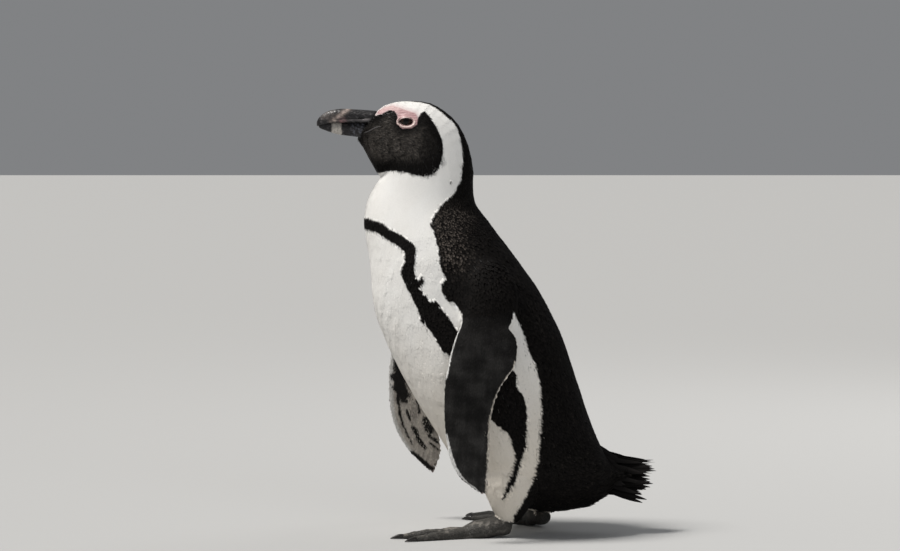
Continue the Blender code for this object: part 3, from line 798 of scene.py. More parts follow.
def scatter(places, normals, triangles, spacing, seed):
    """Evenly spread points on a surface: places, normals, spacing and triangle of each."""
    rng = np.random.default_rng(seed)
    corner = places[triangles]
    cross = np.cross(corner[:, 1] - corner[:, 0], corner[:, 2] - corner[:, 0])
    area = np.linalg.norm(cross, axis=1) / 2
    wanted = np.where(spacing > 0, ROOTS_TRIED * area / np.maximum(spacing, 0.1) ** 2, 0)
    count = (wanted + rng.random(len(area))).astype(int)
    which = np.repeat(np.arange(len(area)), count)
    a, b = rng.random((2, len(which)))
    flip = a + b > 1
    a[flip], b[flip] = 1 - a[flip], 1 - b[flip]
    weights = np.stack((1 - a - b, a, b), axis=1)[..., None]
    points = (corner[which] * weights).sum(axis=1)
    ups = unit((normals[triangles[which]] * weights).sum(axis=1))
    reach = spacing[which]
    order = rng.permutation(len(points))
    tree = kdtree.KDTree(len(points))
    for index in order:
        tree.insert(points[index], index)
    tree.balance()
    alive = np.ones(len(points), bool)
    kept = []
    for index in order:
        if alive[index]:
            kept.append(index)
            for _, other, _ in tree.find_range(points[index], reach[index]):
                alive[other] = False
    kept = np.array(kept)
    return points[kept], ups[kept], reach[kept], which[kept]


def vane_faces(rings):
    """Triangles of one feather: two top faces and one below in each bay, a tip and a root cap."""
    faces = []
    for i in range(rings - 1):
        near, ridge, far = 3 * i, 3 * i + 1, 3 * i + 2
        for a, b in ((near, ridge), (ridge, far), (far, near)):
            faces += [(a, a + 3, b + 3), (a, b + 3, b)]
    last, tip = 3 * (rings - 1), 3 * rings
    faces += [(last, tip, last + 1), (last + 1, tip, last + 2), (last + 2, tip, last), (0, 1, 2)]
    return np.array(faces)


def rim_table(rings):
    """Table of the pairs of one feather's vertices that are joined along its rim."""
    table = np.zeros((3 * rings + 1, 3 * rings + 1), bool)
    for side in (0, 2):
        line = [3 * i + side for i in range(rings)] + [3 * rings]
        for a, b in zip(line, line[1:]):
            table[a, b] = table[b, a] = True
    return table


Looks = namedtuple("Looks", "length width lift sink crown")


def vane_table(vane):
    """At each vertex of a feather: share of its length, of its half width and of its ridge."""
    rows = [(share, wide * side, wide * (side == 0)) for share, wide in vane for side in (-1, 0, 1)]
    return np.array(rows + [(1.0, 0.0, 0.0)]).T


def feather_points(coat, vane, looks, rng):
    """Own places of every feather's vertices. The looks are own millimetres, one for each root."""
    count = len(coat.roots)
    share, across, ridge = vane_table(vane)
    side_way = unit(np.cross(coat.normals, coat.lie))
    ahead = unit(coat.lie + rng.normal(0, 0.10, count)[:, None] * side_way)
    beside = np.cross(coat.normals, ahead)
    lift, half = looks.lift[:, None], looks.width[:, None] / 2
    rise = -looks.sink + lift * share ** 0.8
    rise = rise + 0.10 * rng.normal(size=(count, 1)) * lift * share ** 3
    crown = np.broadcast_to(looks.crown, count)[:, None]
    return (coat.roots[:, None]
            + ahead[:, None] * (looks.length[:, None] * share)[..., None]
            + beside[:, None] * (half * across)[..., None]
            + coat.normals[:, None] * (rise + crown * half * ridge)[..., None])


def feather_piece(name, coat, vane, points, shades):
    """One object of joined closed feathers, with a tint and a bake place at each vertex."""
    count, size = points.shape[:2]
    faces = vane_faces(len(vane))[None] + (np.arange(count) * size)[:, None, None]
    obj = bpy.data.objects.new(name, bpy.data.meshes.new(name))
    bpy.context.scene.collection.objects.link(obj)
    fill_mesh(obj.data, world(points.reshape(-1, 3)), faces.reshape(-1, 3))
    mark_rims(obj.data, rim_table(len(vane)), size)
    set_tint(obj.data, shades.reshape(-1, 3))
    share, across, _ = vane_table(vane)
    patch = np.stack((across * PATCH / 2, (share - 0.5) * PATCH), axis=1)
    set_uv(obj.data, (fitted_unwrap(coat.unwrap)[:, None] + patch[None]).reshape(-1, 2))
    return obj


def fill_mesh(mesh, points, triangles):
    """Makes an empty mesh from arrays of world places and of triangles."""
    mesh.vertices.add(len(points))
    mesh.vertices.foreach_set("co", points.ravel())
    mesh.loops.add(triangles.size)
    mesh.loops.foreach_set("vertex_index", triangles.ravel())
    mesh.polygons.add(len(triangles))
    mesh.polygons.foreach_set("loop_start", np.arange(0, triangles.size, 3))
    mesh.polygons.foreach_set("use_smooth", np.ones(len(triangles), bool))
    mesh.update(calc_edges=True)


def mark_rims(mesh, table, size):
    """Makes the edges sharp that the table names, in every feather of this many vertices."""
    a, b = (read(mesh.edges, "vertices", 2, int) % size).T
    add_attribute(mesh, "sharp_edge", "BOOLEAN", table[a, b], "EDGE")


def fitted_unwrap(unwrap):
    """The piece's part of the unwrap, spread over its own map."""
    low, high = unwrap.min(axis=0), unwrap.max(axis=0)
    return 0.01 + 0.98 * (unwrap - low) / np.maximum(high - low, 1e-6)


def ahead_of_bill_base(points):
    """Millimetres in front of the plane where the bill starts."""
    (y0, z0), (y1, z1) = BILL_BASE
    run = np.array((y1 - y0, z1 - z0)) / math.hypot(y1 - y0, z1 - z0)
    return -(points[:, 1] - y0) * run[1] + (points[:, 2] - z0) * run[0]


def feather_spacing(points, flesh, sleeve):
    """Spacing of the feathers, or 0 where the skin is bare."""
    sizes = settings().sizes
    along, _, _ = axis_frame(points)
    x, y, z = points.T
    stops = ((0.0, sizes.face_spacing), (0.10, sizes.face_spacing), (0.17, sizes.crown_spacing),
             (0.28, sizes.breast_spacing), (0.36, sizes.breast_spacing * 1.1),
             (0.46, sizes.body_spacing), (1.0, sizes.body_spacing))
    spacing = np.interp(along, [s for s, _ in stops], [v / MM for _, v in stops])
    mantle = smoothstep(0, 6, depth_in(BACK, y, z)) * smoothstep(0.28, 0.34, along)
    spacing = spacing + (sizes.body_spacing / MM * 1.12 - spacing) * mantle * (z > 200)
    spacing = spacing + (sizes.leg_spacing / MM - spacing) * leg_share(points)
    sleeve = sleeve * (1 - smoothstep(SHOULDER_LEVEL - 4, 272, z))
    spacing = spacing + (sizes.flipper_spacing / MM - spacing) * sleeve
    bare = (depth_in(BARE, y, z) > -0.2) & (np.abs(x) + 1.5 * waves(points, 5.0, 19) > 6.5)
    bare |= on_eyelid(points, 0.2)
    bare |= ahead_of_bill_base(points) > -0.8
    bare |= np.isin(flesh, FEET) | (z < BARE_LEVEL)
    (end_y, end_z), (way_y, way_z) = TAIL_END
    bare |= (y - end_y) * way_y + (z - end_z) * way_z > -1.5
    return np.where(bare, 0, spacing)


def in_own_plumage(points, flesh):
    """True on the flippers below the ragged edge of the shoulder feathers."""
    edge = SHOULDER_LEVEL + 5.0 * waves(points, 13.0, 77)
    return np.isin(flesh, FLIPPERS) & (points[:, 2] < edge)


def all_feathers(skin):
    """Roots, lie and spacing of every feather on the skin."""
    places, normals = read_places(skin)
    triangles = read_triangles(skin)
    owner = read_flesh(skin)[triangles[:, 0]]
    sleeve = read(skin.data.attributes["sleeve"].data, "value")
    gaps = feather_spacing(places[triangles].mean(axis=1), owner, sleeve[triangles].mean(axis=1))
    roots, ups, spacing, which = scatter(places, normals, triangles, gaps, SEEDS["roots"])
    return Coat(roots, ups, body_lie(roots, ups), spacing, body_unwrap(roots), owner[which])


def pick(coat, which):
    return Coat(*(values[which] for values in coat))


def body_shades(coat, points, looks, jitter, rng):
    """Tint of every vertex of the body's feathers: the markings, tips that pale (worn on the
    mantle, painted highlights on the cheek and back) and roots darkened as painted shade.
    """
    paint = palette()
    count, size = points.shape[:2]
    share = vane_table(VANE)[0]
    middle = coat.roots + coat.lie * (MARKING_AT * looks.length)[:, None]
    colours, paler_share, edge = markings(middle, coat.normals, jitter)
    shades = np.repeat(colours[:, None], size, axis=1)
    near = edge < 3.0 + looks.length
    exact, _, _ = markings(points[near].reshape(-1, 3), np.repeat(coat.normals[near], size, axis=0),
                           np.repeat(jitter[near], size))
    shades[near] = exact.reshape(-1, size, 3)
    shades[np.isin(coat.flesh, FLIPPERS)] = paint["black"]
    dark = shades[..., 0] < 0.3
    varied = rng.normal(1.0, np.where(dark[:, 0], 0.16, 0.008), count)
    shades = shades * varied[:, None, None]
    # Tips pale towards the faded colour: worn on the mantle, painted highlights on the cheek and in
    # the back's streaks.
    fade = np.broadcast_to((paler_share * rng.uniform(0.0, 1.0, count) ** 1.5)[:, None], dark.shape)
    tips = np.where(dark[..., None], mix(shades * 1.4, paint["faded"], fade), shades * 1.02)
    # Roots are darkened as painted shade under the feathers that overlap them.
    painted_root_shade = np.where(dark, 0.22, 0.02) * (1 - smoothstep(0.15, 0.8, share))
    tipped = np.broadcast_to(smoothstep(0.65, 1.0, share), dark.shape)
    return mix(shades * (1 - painted_root_shade)[..., None], tips, tipped)


def dress_body_part(name, coat, seed):
    """One piece of the body's coat, coloured by the markings under its feathers."""
    rng = np.random.default_rng(seed)
    count = len(coat.roots)
    along, _, _ = axis_frame(coat.roots)
    face = face_share(coat.roots)
    covert = smoothstep(0.86, 0.97, along)
    edge = smoothstep(0.5, 5.0, -depth_in(BARE, coat.roots[:, 1], coat.roots[:, 2]))
    length = coat.spacing * (4.0 + 0.3 * face + 2.4 * covert) * rng.uniform(0.85, 1.15, count)
    length *= 0.65 + 0.35 * np.maximum(edge, 1 - face)
    width = coat.spacing * (1.65 - 0.6 * face + 0.3 * covert) * rng.uniform(0.85, 1.1, count)
    jitter = rng.normal(0, 0.16, count) * coat.spacing
    middle = coat.roots + coat.lie * (MARKING_AT * length)[:, None]
    pale = markings(middle, coat.normals, jitter)[0][:, 0] > 0.3
    lift = plumage_depth(face) * np.where(pale, 0.18, 0.85) * rng.uniform(0.85, 1.1, count)
    shoulder = np.isin(coat.flesh, FLIPPERS)
    lift *= np.where(shoulder, 0.45 + 0.55 * smoothstep(234, 262, coat.roots[:, 2]), 1.0)
    looks = Looks(length, width, lift, 0.12, np.where(pale, 0.04, 0.16))
    points = feather_points(coat, VANE, looks, rng)
    shades = body_shades(coat, points, looks, jitter, rng)
    obj = feather_piece(name, coat, VANE, points, shades)
    finish_piece(obj, "body_plumage")


def dress_flipper(name, coat, shape, seed):
    """One side of a flipper's own small feathers."""
    rng = np.random.default_rng(seed)
    count = len(coat.roots)
    down, behind, before = across_flipper(shape, coat.roots)
    coat = coat._replace(lie=flipper_lie(shape, coat.roots, coat.normals),
                         unwrap=np.column_stack((behind / np.maximum(behind + before, 1), down)))
    length = coat.spacing * 3.2 * rng.uniform(0.9, 1.1, count)
    looks = Looks(length, coat.spacing * 1.3, np.full(count, 0.34), 0.10, 0.12)
    points = feather_points(coat, SMALL_VANE, looks, rng)
    size = points.shape[1]
    jitter = rng.normal(0, 0.12, count)
    shades = flipper_colours(points.reshape(-1, 3), np.repeat(coat.normals, size, axis=0), shape,
                             np.repeat(jitter, size)).reshape(points.shape)
    share = vane_table(SMALL_VANE)[0]
    # Besides a random tone, each feather is darker at its root as painted shade.
    varied = rng.normal(1.0, 0.10, count)[:, None] * (0.85 + 0.35 * smoothstep(0.1, 1.0, share))
    obj = feather_piece(name, coat, SMALL_VANE, points, shades * varied[..., None])
    finish_piece(obj, "flipper_plumage")


# The body's coat pieces, and the share of the way from bill to tail at which each starts.
COAT_PIECES = (("face", 0.0), ("cheeks", 0.13), ("upper_neck", 0.22), ("lower_neck", 0.30),
               ("breast", 0.37), ("shoulders", 0.43), ("upper_trunk", 0.50),
               ("middle_trunk", 0.57), ("lower_trunk", 0.64), ("loins", 0.72), ("rump", 0.82))


class PENGUIN_OT_coat(Operator):
    """Covers the skin with feathers, in pieces from the face to the rump and flippers"""

    bl_idname = "penguin.add_coat"
    bl_label = "Plumage"

    def execute(self, context):
        skin = bpy.data.objects["skin"]
        coat = all_feathers(skin)
        along, _, _ = axis_frame(coat.roots)
        legs = leg_share(coat.roots) > 0.5
        apart = in_own_plumage(coat.roots, coat.flesh)
        owner = np.searchsorted([start for _, start in COAT_PIECES], along, "right") - 1
        for number, (name, _) in enumerate(COAT_PIECES):
            which = (owner == number) & ~legs & ~apart
            dress_body_part("coat_" + name, pick(coat, which), SEEDS["body"] + number)
        dress_body_part("coat_legs", pick(coat, legs & ~apart), SEEDS["legs"])
        places, _ = read_places(skin)
        flesh = read_flesh(skin)
        for number, (side, sign) in zip(FLIPPERS, SIDES):
            shape = flipper_shape(places[flesh == number], sign)
            mine = apart & (coat.flesh == number)
            outer = coat.normals[:, 0] * sign > 0
            for face, which in (("outer", mine & outer), ("inner", mine & ~outer)):
                dress_flipper(f"coat_flipper_{side}_{face}", pick(coat, which), shape,
                              SEEDS["flippers"] + 2 * number + (face == "outer"))
        return {"FINISHED"}


# ---- skin ----

def nearest_flesh(points):
    """Which of the flesh solids is nearest to each point, as its number in FLESH."""
    corners, triangles, owner = [], [], []
    for number, node in enumerate(FLESH):
        mesh = frame["nodes"][node].data
        mesh.calc_loop_triangles()
        start = len(corners)
        corners += own([v.co for v in mesh.vertices]).tolist()
        triangles += [[start + v for v in t.vertices] for t in mesh.loop_triangles]
        owner += [number] * len(mesh.loop_triangles)
    tree = BVHTree.FromPolygons(corners, triangles)
    return np.array([owner[tree.find_nearest(point)[2]] for point in points])


def read_flesh(skin):
    return read(skin.data.attributes["flesh"].data, "value", kind=int)


class PENGUIN_OT_skin(Operator):
    """Models one skin over the flesh of head, body, legs, feet, flippers and tail root"""

    bl_idname = "penguin.add_skin"
    bl_label = "Skin"

    def execute(self, context):
        skin = copy_of_nodes("skin", FLESH + ("eye_left", "eye_right"))
        cut_tail_vanes(skin)
        add_shoulders(skin)
        apply_modifier(skin, "REMESH", mode="VOXEL", voxel_size=SKIN_VOXEL * MM)
        apply_modifier(skin, "SMOOTH", factor=0.5, iterations=5)
        thin_out(skin)
        soften(skin)
        refine_bare_skin(skin)
        flesh = nearest_flesh(read_places(skin)[0])
        add_attribute(skin.data, "flesh", "INT", flesh)
        sink_skin(skin, flesh)
        places, normals = read_places(skin)
        shapes = [flipper_shape(places[flesh == number], sign)
                  for number, (_, sign) in zip(FLIPPERS, SIDES)]
        set_uv(skin.data, body_unwrap(places))
        finish_smooth(skin, skin_colours(places, normals, flesh, shapes), "bare_skin", FLESH)
        skin.data.materials.append(tinted_material("flipper_plumage"))
        skin.data.materials.append(tinted_material("scaly_skin"))
        first = read(skin.data.loops, "vertex_index", kind=int)
        owner = flesh[first[read(skin.data.polygons, "loop_start", kind=int)]]
        slots = np.where(np.isin(owner, FLIPPERS), 1, np.where(np.isin(owner, FEET), 2, 0))
        skin.data.polygons.foreach_set("material_index", slots)
        return {"FINISHED"}


def cut_tail_vanes(skin):
    """Cuts off the tail's vanes and closes the stump, because each vane is modelled for itself."""
    with editing(skin):
        bpy.ops.mesh.bisect(plane_co=world((0.0, *TAIL_END[0])), plane_no=(0.0, *TAIL_END[1]),
                            clear_outer=True, use_fill=True)
        bpy.ops.mesh.subdivide(number_cuts=2)
    places, _ = read_places(skin)
    thin = 0.5 * smoothstep(108, TAIL_END[0][0], places[:, 1])
    places[:, 0] *= 1 - 0.7 * thin
    places[:, 2] += thin * (TAIL_MIDDLE - places[:, 2])
    write_places(skin, places)


def add_shoulders(skin):
    """Pads over the roots of the flippers, so that they grow out of the body without a step."""
    for centre, tilt in SHOULDER_PADS:
        with editing(skin, "DESELECT"):
            bpy.ops.mesh.primitive_uv_sphere_add(
                segments=32, ring_count=16, radius=1.0, location=world(centre),
                rotation=(0.0, math.radians(tilt), 0.0), scale=[size * MM for size in PAD_SIZE])


def keeps_detail(points):
    """1 where the skin stays fine: round the eyes, on the bare skin, the feet and the bill base."""
    y, z = points[:, 1], points[:, 2]
    near = smoothstep(-4, -2, depth_in(BARE, y, z))
    near = np.maximum(near, on_eyelid(points, 3.0))
    near = np.maximum(near, z < 19)
    return np.maximum(near, ahead_of_bill_base(points) > -2.0)


def thin_out(skin):
    """Merges faces where feathers cover the skin."""
    places, _ = read_places(skin)
    group = add_group(skin, "covered", 1 - keeps_detail(places))
    apply_modifier(skin, "DECIMATE", ratio=0.20, vertex_group=group, vertex_group_factor=1.0)
    skin.vertex_groups.clear()


def soften(skin):
    """Blends the flippers' roots into the shoulders, the legs into the belly, and the torso."""
    places, _ = read_places(skin)
    shoulders = np.zeros(len(places))
    for centre, _ in SHOULDER_PADS:
        reach = np.linalg.norm((places - centre) / np.array(PAD_REACH), axis=1)
        high = smoothstep(206, 232, places[:, 2])
        shoulders = np.maximum(shoulders, (1 - smoothstep(0.75, 1.0, reach)) * high)
    torso = np.maximum(1 - smoothstep(46, 57, np.abs(places[:, 0])),
                       smoothstep(284, 300, places[:, 2]))
    torso *= plateau(places[:, 2], 70, 88, 356, 376)
    legs = leg_share(places) * (places[:, 2] > 24) * 0.6
    chin = np.hypot(places[:, 1] - BILL_BASE[0][0] - 1.5, places[:, 2] - BILL_BASE[0][1])
    chin = 1 - smoothstep(3.0, 6.5, chin)
    for weights, times in zip((shoulders, torso, np.maximum(legs, chin)), SOFTENING):
        group = add_group(skin, "soft", weights)
        apply_modifier(skin, "SMOOTH", factor=0.7, iterations=times, vertex_group=group)
        skin.vertex_groups.clear()


def refine_bare_skin(skin):
    """Splits the faces of the bare skin over the eye, for its folds."""
    places, _ = read_places(skin)
    near = (depth_in(BARE, places[:, 1], places[:, 2]) > -2.0) & (np.abs(places[:, 0]) > 4)
    with editing(skin, "DESELECT"):
        bpy.ops.mesh.select_mode(type="VERT")
    skin.data.vertices.foreach_set("select", near)
    with editing(skin, None):
        bpy.ops.mesh.subdivide(number_cuts=1, smoothness=0.0)


def sink_skin(skin, flesh):
    """Lays the skin inside the tips of its plumage, and folds it where it is bare."""
    places, normals = read_places(skin)
    y, z = places[:, 1], places[:, 2]
    face = face_share(places)
    depth = plumage_depth(face)
    bare = smoothstep(-1.5, 1.0, depth_in(BARE, y, z)) * (np.abs(places[:, 0]) > 4)
    folds = 0.14 * np.sin(z * 2.4 + 2.5 * waves(places, 7, 31)) + 0.06 * waves(places, 2.0, 32)
    depth = depth * (1 - 0.45 * bare) + folds * bare
    sleeve = blur(skin, np.isin(flesh, FLIPPERS) * (1 - smoothstep(232, 262, z)), 8)
    add_attribute(skin.data, "sleeve", "FLOAT", blur(skin, np.isin(flesh, FLIPPERS) * 1.0, 40))
    depth = depth + (FLIPPER_DEPTH - depth) * np.clip(sleeve, 0, 1)
    depth = np.where(np.isin(flesh, FEET), 0.0, depth)
    sole = z < SOLE_LEVEL
    opening = np.hypot((y - EYE_PLACE[0]) / LID_OPENING[0], (z - EYE_PLACE[1]) / LID_OPENING[1])
    socket = (1 - smoothstep(1.0, 1.35, opening)) * (np.abs(places[:, 0]) > 8)
    depth = depth + SOCKET_DEPTH * socket
    swell = 0.22 * waves(places, 46.0, 33) * (1 - face) * (z > 60)
    swell *= 1 - blur(skin, np.isin(flesh, FLIPPERS + FEET) * 1.0, 8)
    places -= normals * (depth + swell)[:, None]
    places[sole, 2] = 0.0
    write_places(skin, places)


# ---- tail ----

# Fans of stiff feathers, from the top one down: how many, own y and z of the roots, how far the
# fan's sides hang down and stand apart, length, degrees that it spreads and rises, how far its
# sides droop, and the width of each feather.
Fan = namedtuple("Fan", "count y z arch half length spread rise droop width")
FANS = (Fan(17, 101.0, 99.0, 34.0, 20.0, 41.0, 3.0, -35.0, 0.0, 5.0),
        Fan(17, 110.0, 91.0, 31.0, 20.0, 42.0, 3.0, -24.0, 0.0, 5.0),
        Fan(19, 117.0, 83.0, 29.0, 19.0, 50.0, 4.0, -9.5, 1.0, 5.0),
        Fan(21, 123.0, 74.0, 26.0, 16.0, 52.0, 7.0, 0.0, 4.0, 5.0),
        Fan(19, 123.0, 67.0, 20.0, 14.0, 52.0, 7.0, -5.0, 3.0, 5.0),
        Fan(17, 121.0, 60.0, 14.0, 13.0, 51.0, 7.0, -7.0, 2.0, 5.0),
        Fan(15, 115.0, 53.0, 8.0, 13.0, 51.0, 6.0, -8.0, 1.0, 5.0),
        Fan(13, 108.0, 46.0, 3.0, 13.0, 50.0, 6.0, -5.0, 0.0, 5.0))
TAIL_VANE = ((0.0, 0.5), (0.25, 0.85), (0.5, 1.0), (0.68, 0.92), (0.82, 0.66), (0.92, 0.36),
             (0.97, 0.18))


class PENGUIN_OT_tail(Operator):
    """Models the stiff tail feathers, fanned in layers like a low roof"""

    bl_idname = "penguin.add_tail"
    bl_label = "Tail"

    def execute(self, context):
        rng = np.random.default_rng(SEEDS["tail"])
        rows, slopes = [], []
        for fan in FANS:
            for side in np.linspace(-1, 1, fan.count):
                turn = math.radians(fan.spread * side + rng.normal(0, 1.6))
                pitch = math.radians(fan.rise - fan.droop * side * side + rng.normal(0, 1.6))
                rows.append((fan.half * side, fan.y + rng.normal(0, 1.5),
                             fan.z - fan.arch * side * side,
                             math.sin(turn) * math.cos(pitch), math.cos(turn) * math.cos(pitch),
                             math.sin(pitch), side, fan.width,
                             fan.length * (1 - 0.12 * side * side) * rng.uniform(0.80, 1.0)))
                slopes.append(2 * fan.arch * side / fan.half)
        rows = np.array(rows)
        roots, lies, side = rows[:, :3], unit(rows[:, 3:6]), rows[:, 6:7]
        roof = unit(np.column_stack((slopes, np.zeros(len(rows)), np.ones(len(rows)))))
        ups = across_normals(roof, lies)
        count = len(rows)
        black = np.tile(palette()["black"], (count, 1)) * rng.uniform(0.9, 1.5, count)[:, None]
        unwrap = np.column_stack((side[:, 0], rows[:, 2]))
        coat = Coat(roots, ups, lies, np.ones(count), unwrap, np.zeros(count, int))
        looks = Looks(rows[:, 8], rows[:, 7], np.zeros(count), 0.0, 0.30)
        points = feather_points(coat, TAIL_VANE, looks, np.random.default_rng(SEEDS["tail_lie"]))
        paler = 1 + 1.2 * smoothstep(0.6, 1.0, vane_table(TAIL_VANE)[0])
        obj = feather_piece("tail_vanes", coat, TAIL_VANE, points,
                            black[:, None] * paler[None, :, None])
        finish_piece(obj, "body_plumage", ())
        return {"FINISHED"}


# ---- eyes ----

EYE_RADIUS = 7.1
SIGHT = (1.0, 0.075, -0.04)     # the way the left eye looks
PUPIL, IRIS = 2.9, 5.4

# Across the bare ring from its opening (0) to its edge (1), and its height over the head.
LID_PROFILE = ((0.0, -0.5), (0.02, 0.10), (0.08, 0.48), (0.17, 0.62), (0.28, 0.52),
               (0.38, 0.40), (0.50, 0.55), (0.64, 0.80), (0.78, 0.82), (0.90, 0.45), (1.0, -0.5))


def ball_centre(side, way):
    """Own place of an eyeball, as far out as its solid reaches."""
    low, high = own(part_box("eye_" + side))
    solid = (high[1] - low[1]) / 2
    return (low + high) / 2 + way * (solid - EYE_RADIUS - 0.1)


def add_ball(side, way):
    """The eyeball with a slight bulge at the cornea, tinted for pupil and iris."""
    deselect_all()
    centre = ball_centre(side, way)
    bpy.ops.mesh.primitive_uv_sphere_add(segments=64, ring_count=40, radius=EYE_RADIUS * MM)
    ball = bpy.context.active_object
    ball.name = ball.data.name = "eyeball_" + side
    turn = Vector((0, 0, 1)).rotation_difference(Vector(way))
    ball.data.transform(Matrix.Translation(world(centre)) @ turn.to_matrix().to_4x4())
    places, _ = read_places(ball)
    reach = places - centre
    off_axis = np.linalg.norm(reach - (reach @ way)[:, None] * way, axis=1)
    ahead = reach @ way > 0
    places += way * (0.4 * (1 - smoothstep(0, 5.6, off_axis)) * ahead)[:, None]
    write_places(ball, places)
    paint = palette()
    ring = smoothstep(PUPIL - 0.25, PUPIL + 0.25, off_axis) * ahead
    fibres = 1 + 0.35 * waves(places, 1.2, 55)
    colours = mix(np.full((len(places), 3), 0.002), paint["iris"] * fibres[:, None], ring)
    rim = smoothstep(IRIS - 0.8, IRIS + 0.3, off_axis)
    colours = mix(colours, paint["iris"] * 0.15, rim)
    finish_smooth(ball, colours, "wet_eye", ("eye_" + side,))
    return ball


def add_lids(side, sign, way, skin_tree, ball_tree):
    """The bare ring round the eye: a lip on the eyeball, a furrow and a rolled outer ring."""
    centre = ball_centre(side, way)
    up = np.array((0.0, 0.0, 1.0))
    up = unit(up - (up @ way) * way)
    back = unit(np.cross(up, way)) * sign
    turns = 96
    angles = np.linspace(0, 2 * math.pi, turns + 1)
    deselect_all()
    bpy.ops.mesh.primitive_grid_add(x_subdivisions=turns, y_subdivisions=len(LID_PROFILE) - 1)
    lids = bpy.context.active_object
    lids.name = lids.data.name = "eyelids_" + side
    points = []
    for share, height in LID_PROFILE:
        for a in angles:
            wide = LID_OPENING[0] + (LID_OUTER[0] - LID_OPENING[0]) * share
            tall = LID_OPENING[1] + (LID_OUTER[1] - LID_OPENING[1]) * share
            corner = 0.5 * abs(math.cos(a)) ** 10 * (1 - share)
            flat = 0.35 * max(math.sin(a), 0.0) ** 2 * (1 - share)
            place = (centre + back * (wide + corner) * math.cos(a)
                     + up * (tall - flat) * math.sin(a))
            start = Vector(place + way * 30)
            hits = [tree.ray_cast(start, Vector(-way))[0] for tree in (skin_tree, ball_tree)]
            best = max((Vector(h) - Vector(place)).dot(Vector(way)) for h in hits if h is not None)
            crease = 0.09 * math.sin(34 * a + 3 * math.sin(5 * a)) * (share < 0.95)
            upper = 0.25 * max(math.sin(a), 0.0) * (0.05 < share < 0.5)
            points.append(place + way * (best + height + crease + upper))
    write_places(lids, np.array(points))
    with editing(lids):
        bpy.ops.mesh.remove_doubles(threshold=MERGE_LIDS * MM)
        bpy.ops.mesh.normals_make_consistent(inside=False)
    _, normals = read_places(lids)
    if (normals @ way).mean() < 0:
        lids.data.flip_normals()
    apply_modifier(lids, "SUBSURF", levels=1, render_levels=1)
    places, _ = read_places(lids)
    paint = palette()
    offset = places - centre
    across, over = offset @ back, offset @ up
    opening = np.hypot(across / LID_OPENING[0], over / LID_OPENING[1])
    reach = np.hypot(across / LID_OUTER[0], over / LID_OUTER[1])
    high = smoothstep(-0.2, 0.6, over / LID_OUTER[1])
    lip = 1 - smoothstep(1.02, 1.12, opening)
    colours = layered(paint["lid"],
                      (paint["pink"], 0.75 * high * smoothstep(0.6, 0.9, reach)),
                      # The furrow is darker pink as painted shade.
                      (paint["pink"] * 0.62, 0.55 * hump(reach, 0.72, 0.06)),
                      (paint["pink"] * 0.10, 0.95 * lip))
    colours *= (1 + 0.14 * waves(places, 1.8, 51))[:, None]
    finish_smooth(lids, colours, "lid_skin")


class PENGUIN_OT_eyes(Operator):
    """Models both eyeballs and the bare rings round them"""

    bl_idname = "penguin.add_eyes"
    bl_label = "Eyes"

    def execute(self, context):
        skin_tree = tree_of(bpy.data.objects["skin"])
        for side, sign in SIDES:
            way = unit(np.array(SIGHT) * (sign, 1, 1))
            ball = add_ball(side, way)
            add_lids(side, sign, way, skin_tree, tree_of(ball))
        return {"FINISHED"}


# ---- bill ----

# The fold at the corner of the mouth: own y and z, and half its height.
GAPE = ((-132.5, 420.2, 0.4), (-128.0, 421.2, 0.8), (-123.5, 423.4, 0.9), (-118.5, 425.7, 0.7),
        (-113.0, 427.2, 0.2))


class PENGUIN_OT_bill(Operator):
    """Models both halves of the bill with their grooves, nostrils and pale band"""

    bl_idname = "penguin.add_bill"
    bl_label = "Bill"

    def execute(self, context):
        for half, carve, times in (("upper", carve_upper_bill, 9), ("lower", carve_lower_bill, 18)):
            node = "bill_" + half
            bill = copy_of_nodes("horn_" + node, (node,))
            apply_modifier(bill, "REMESH", mode="VOXEL", voxel_size=BILL_VOXEL * MM)
            apply_modifier(bill, "SMOOTH", factor=0.5, iterations=times)
            places, normals = read_places(bill)
            relief, tint = carve(places, normals)
            places = places + normals * relief[:, None]
            into_head = (normals[:, 1] > 0.5) & (ahead_of_bill_base(places) < 3.0)
            places[into_head] += np.array((0.0, 6.0, -1.0))
            if half == "lower":
                places = raise_lower_rim(places)
            write_places(bill, places)
            finish_smooth(bill, tint, "bill_keratin", (node,))
        for side, sign in SIDES:
            add_gape(side, sign)
        return {"FINISHED"}


def ridge(distance, width):
    """The rounded section of a ridge or groove: 1 on its line and 0 at its width."""
    return smoothstep(0, 1, 1 - np.abs(distance) / width)


def horn_colours(places, seed):
    """Black horn with scuffed grey plates, and how scuffed it is."""
    paint = palette()
    scuffs = waves(places * (1, 0.45, 1), 2.4, seed)
    plates = smoothstep(0.05, 0.65, waves(places * (1, 0.55, 1), 4.2, seed + 1))
    colours = paint["bill"] * (0.8 + 0.5 * np.clip(scuffs, 0, 1))[:, None]
    fine = smoothstep(0.0, 0.8, waves(places * (1, 0.4, 1), 1.1, seed + 2))
    paler_share = plates * (0.4 * smoothstep(-0.2, 0.7, scuffs) + 0.5 * fine)
    return mix(colours, paint["bill_scuff"], paler_share), scuffs


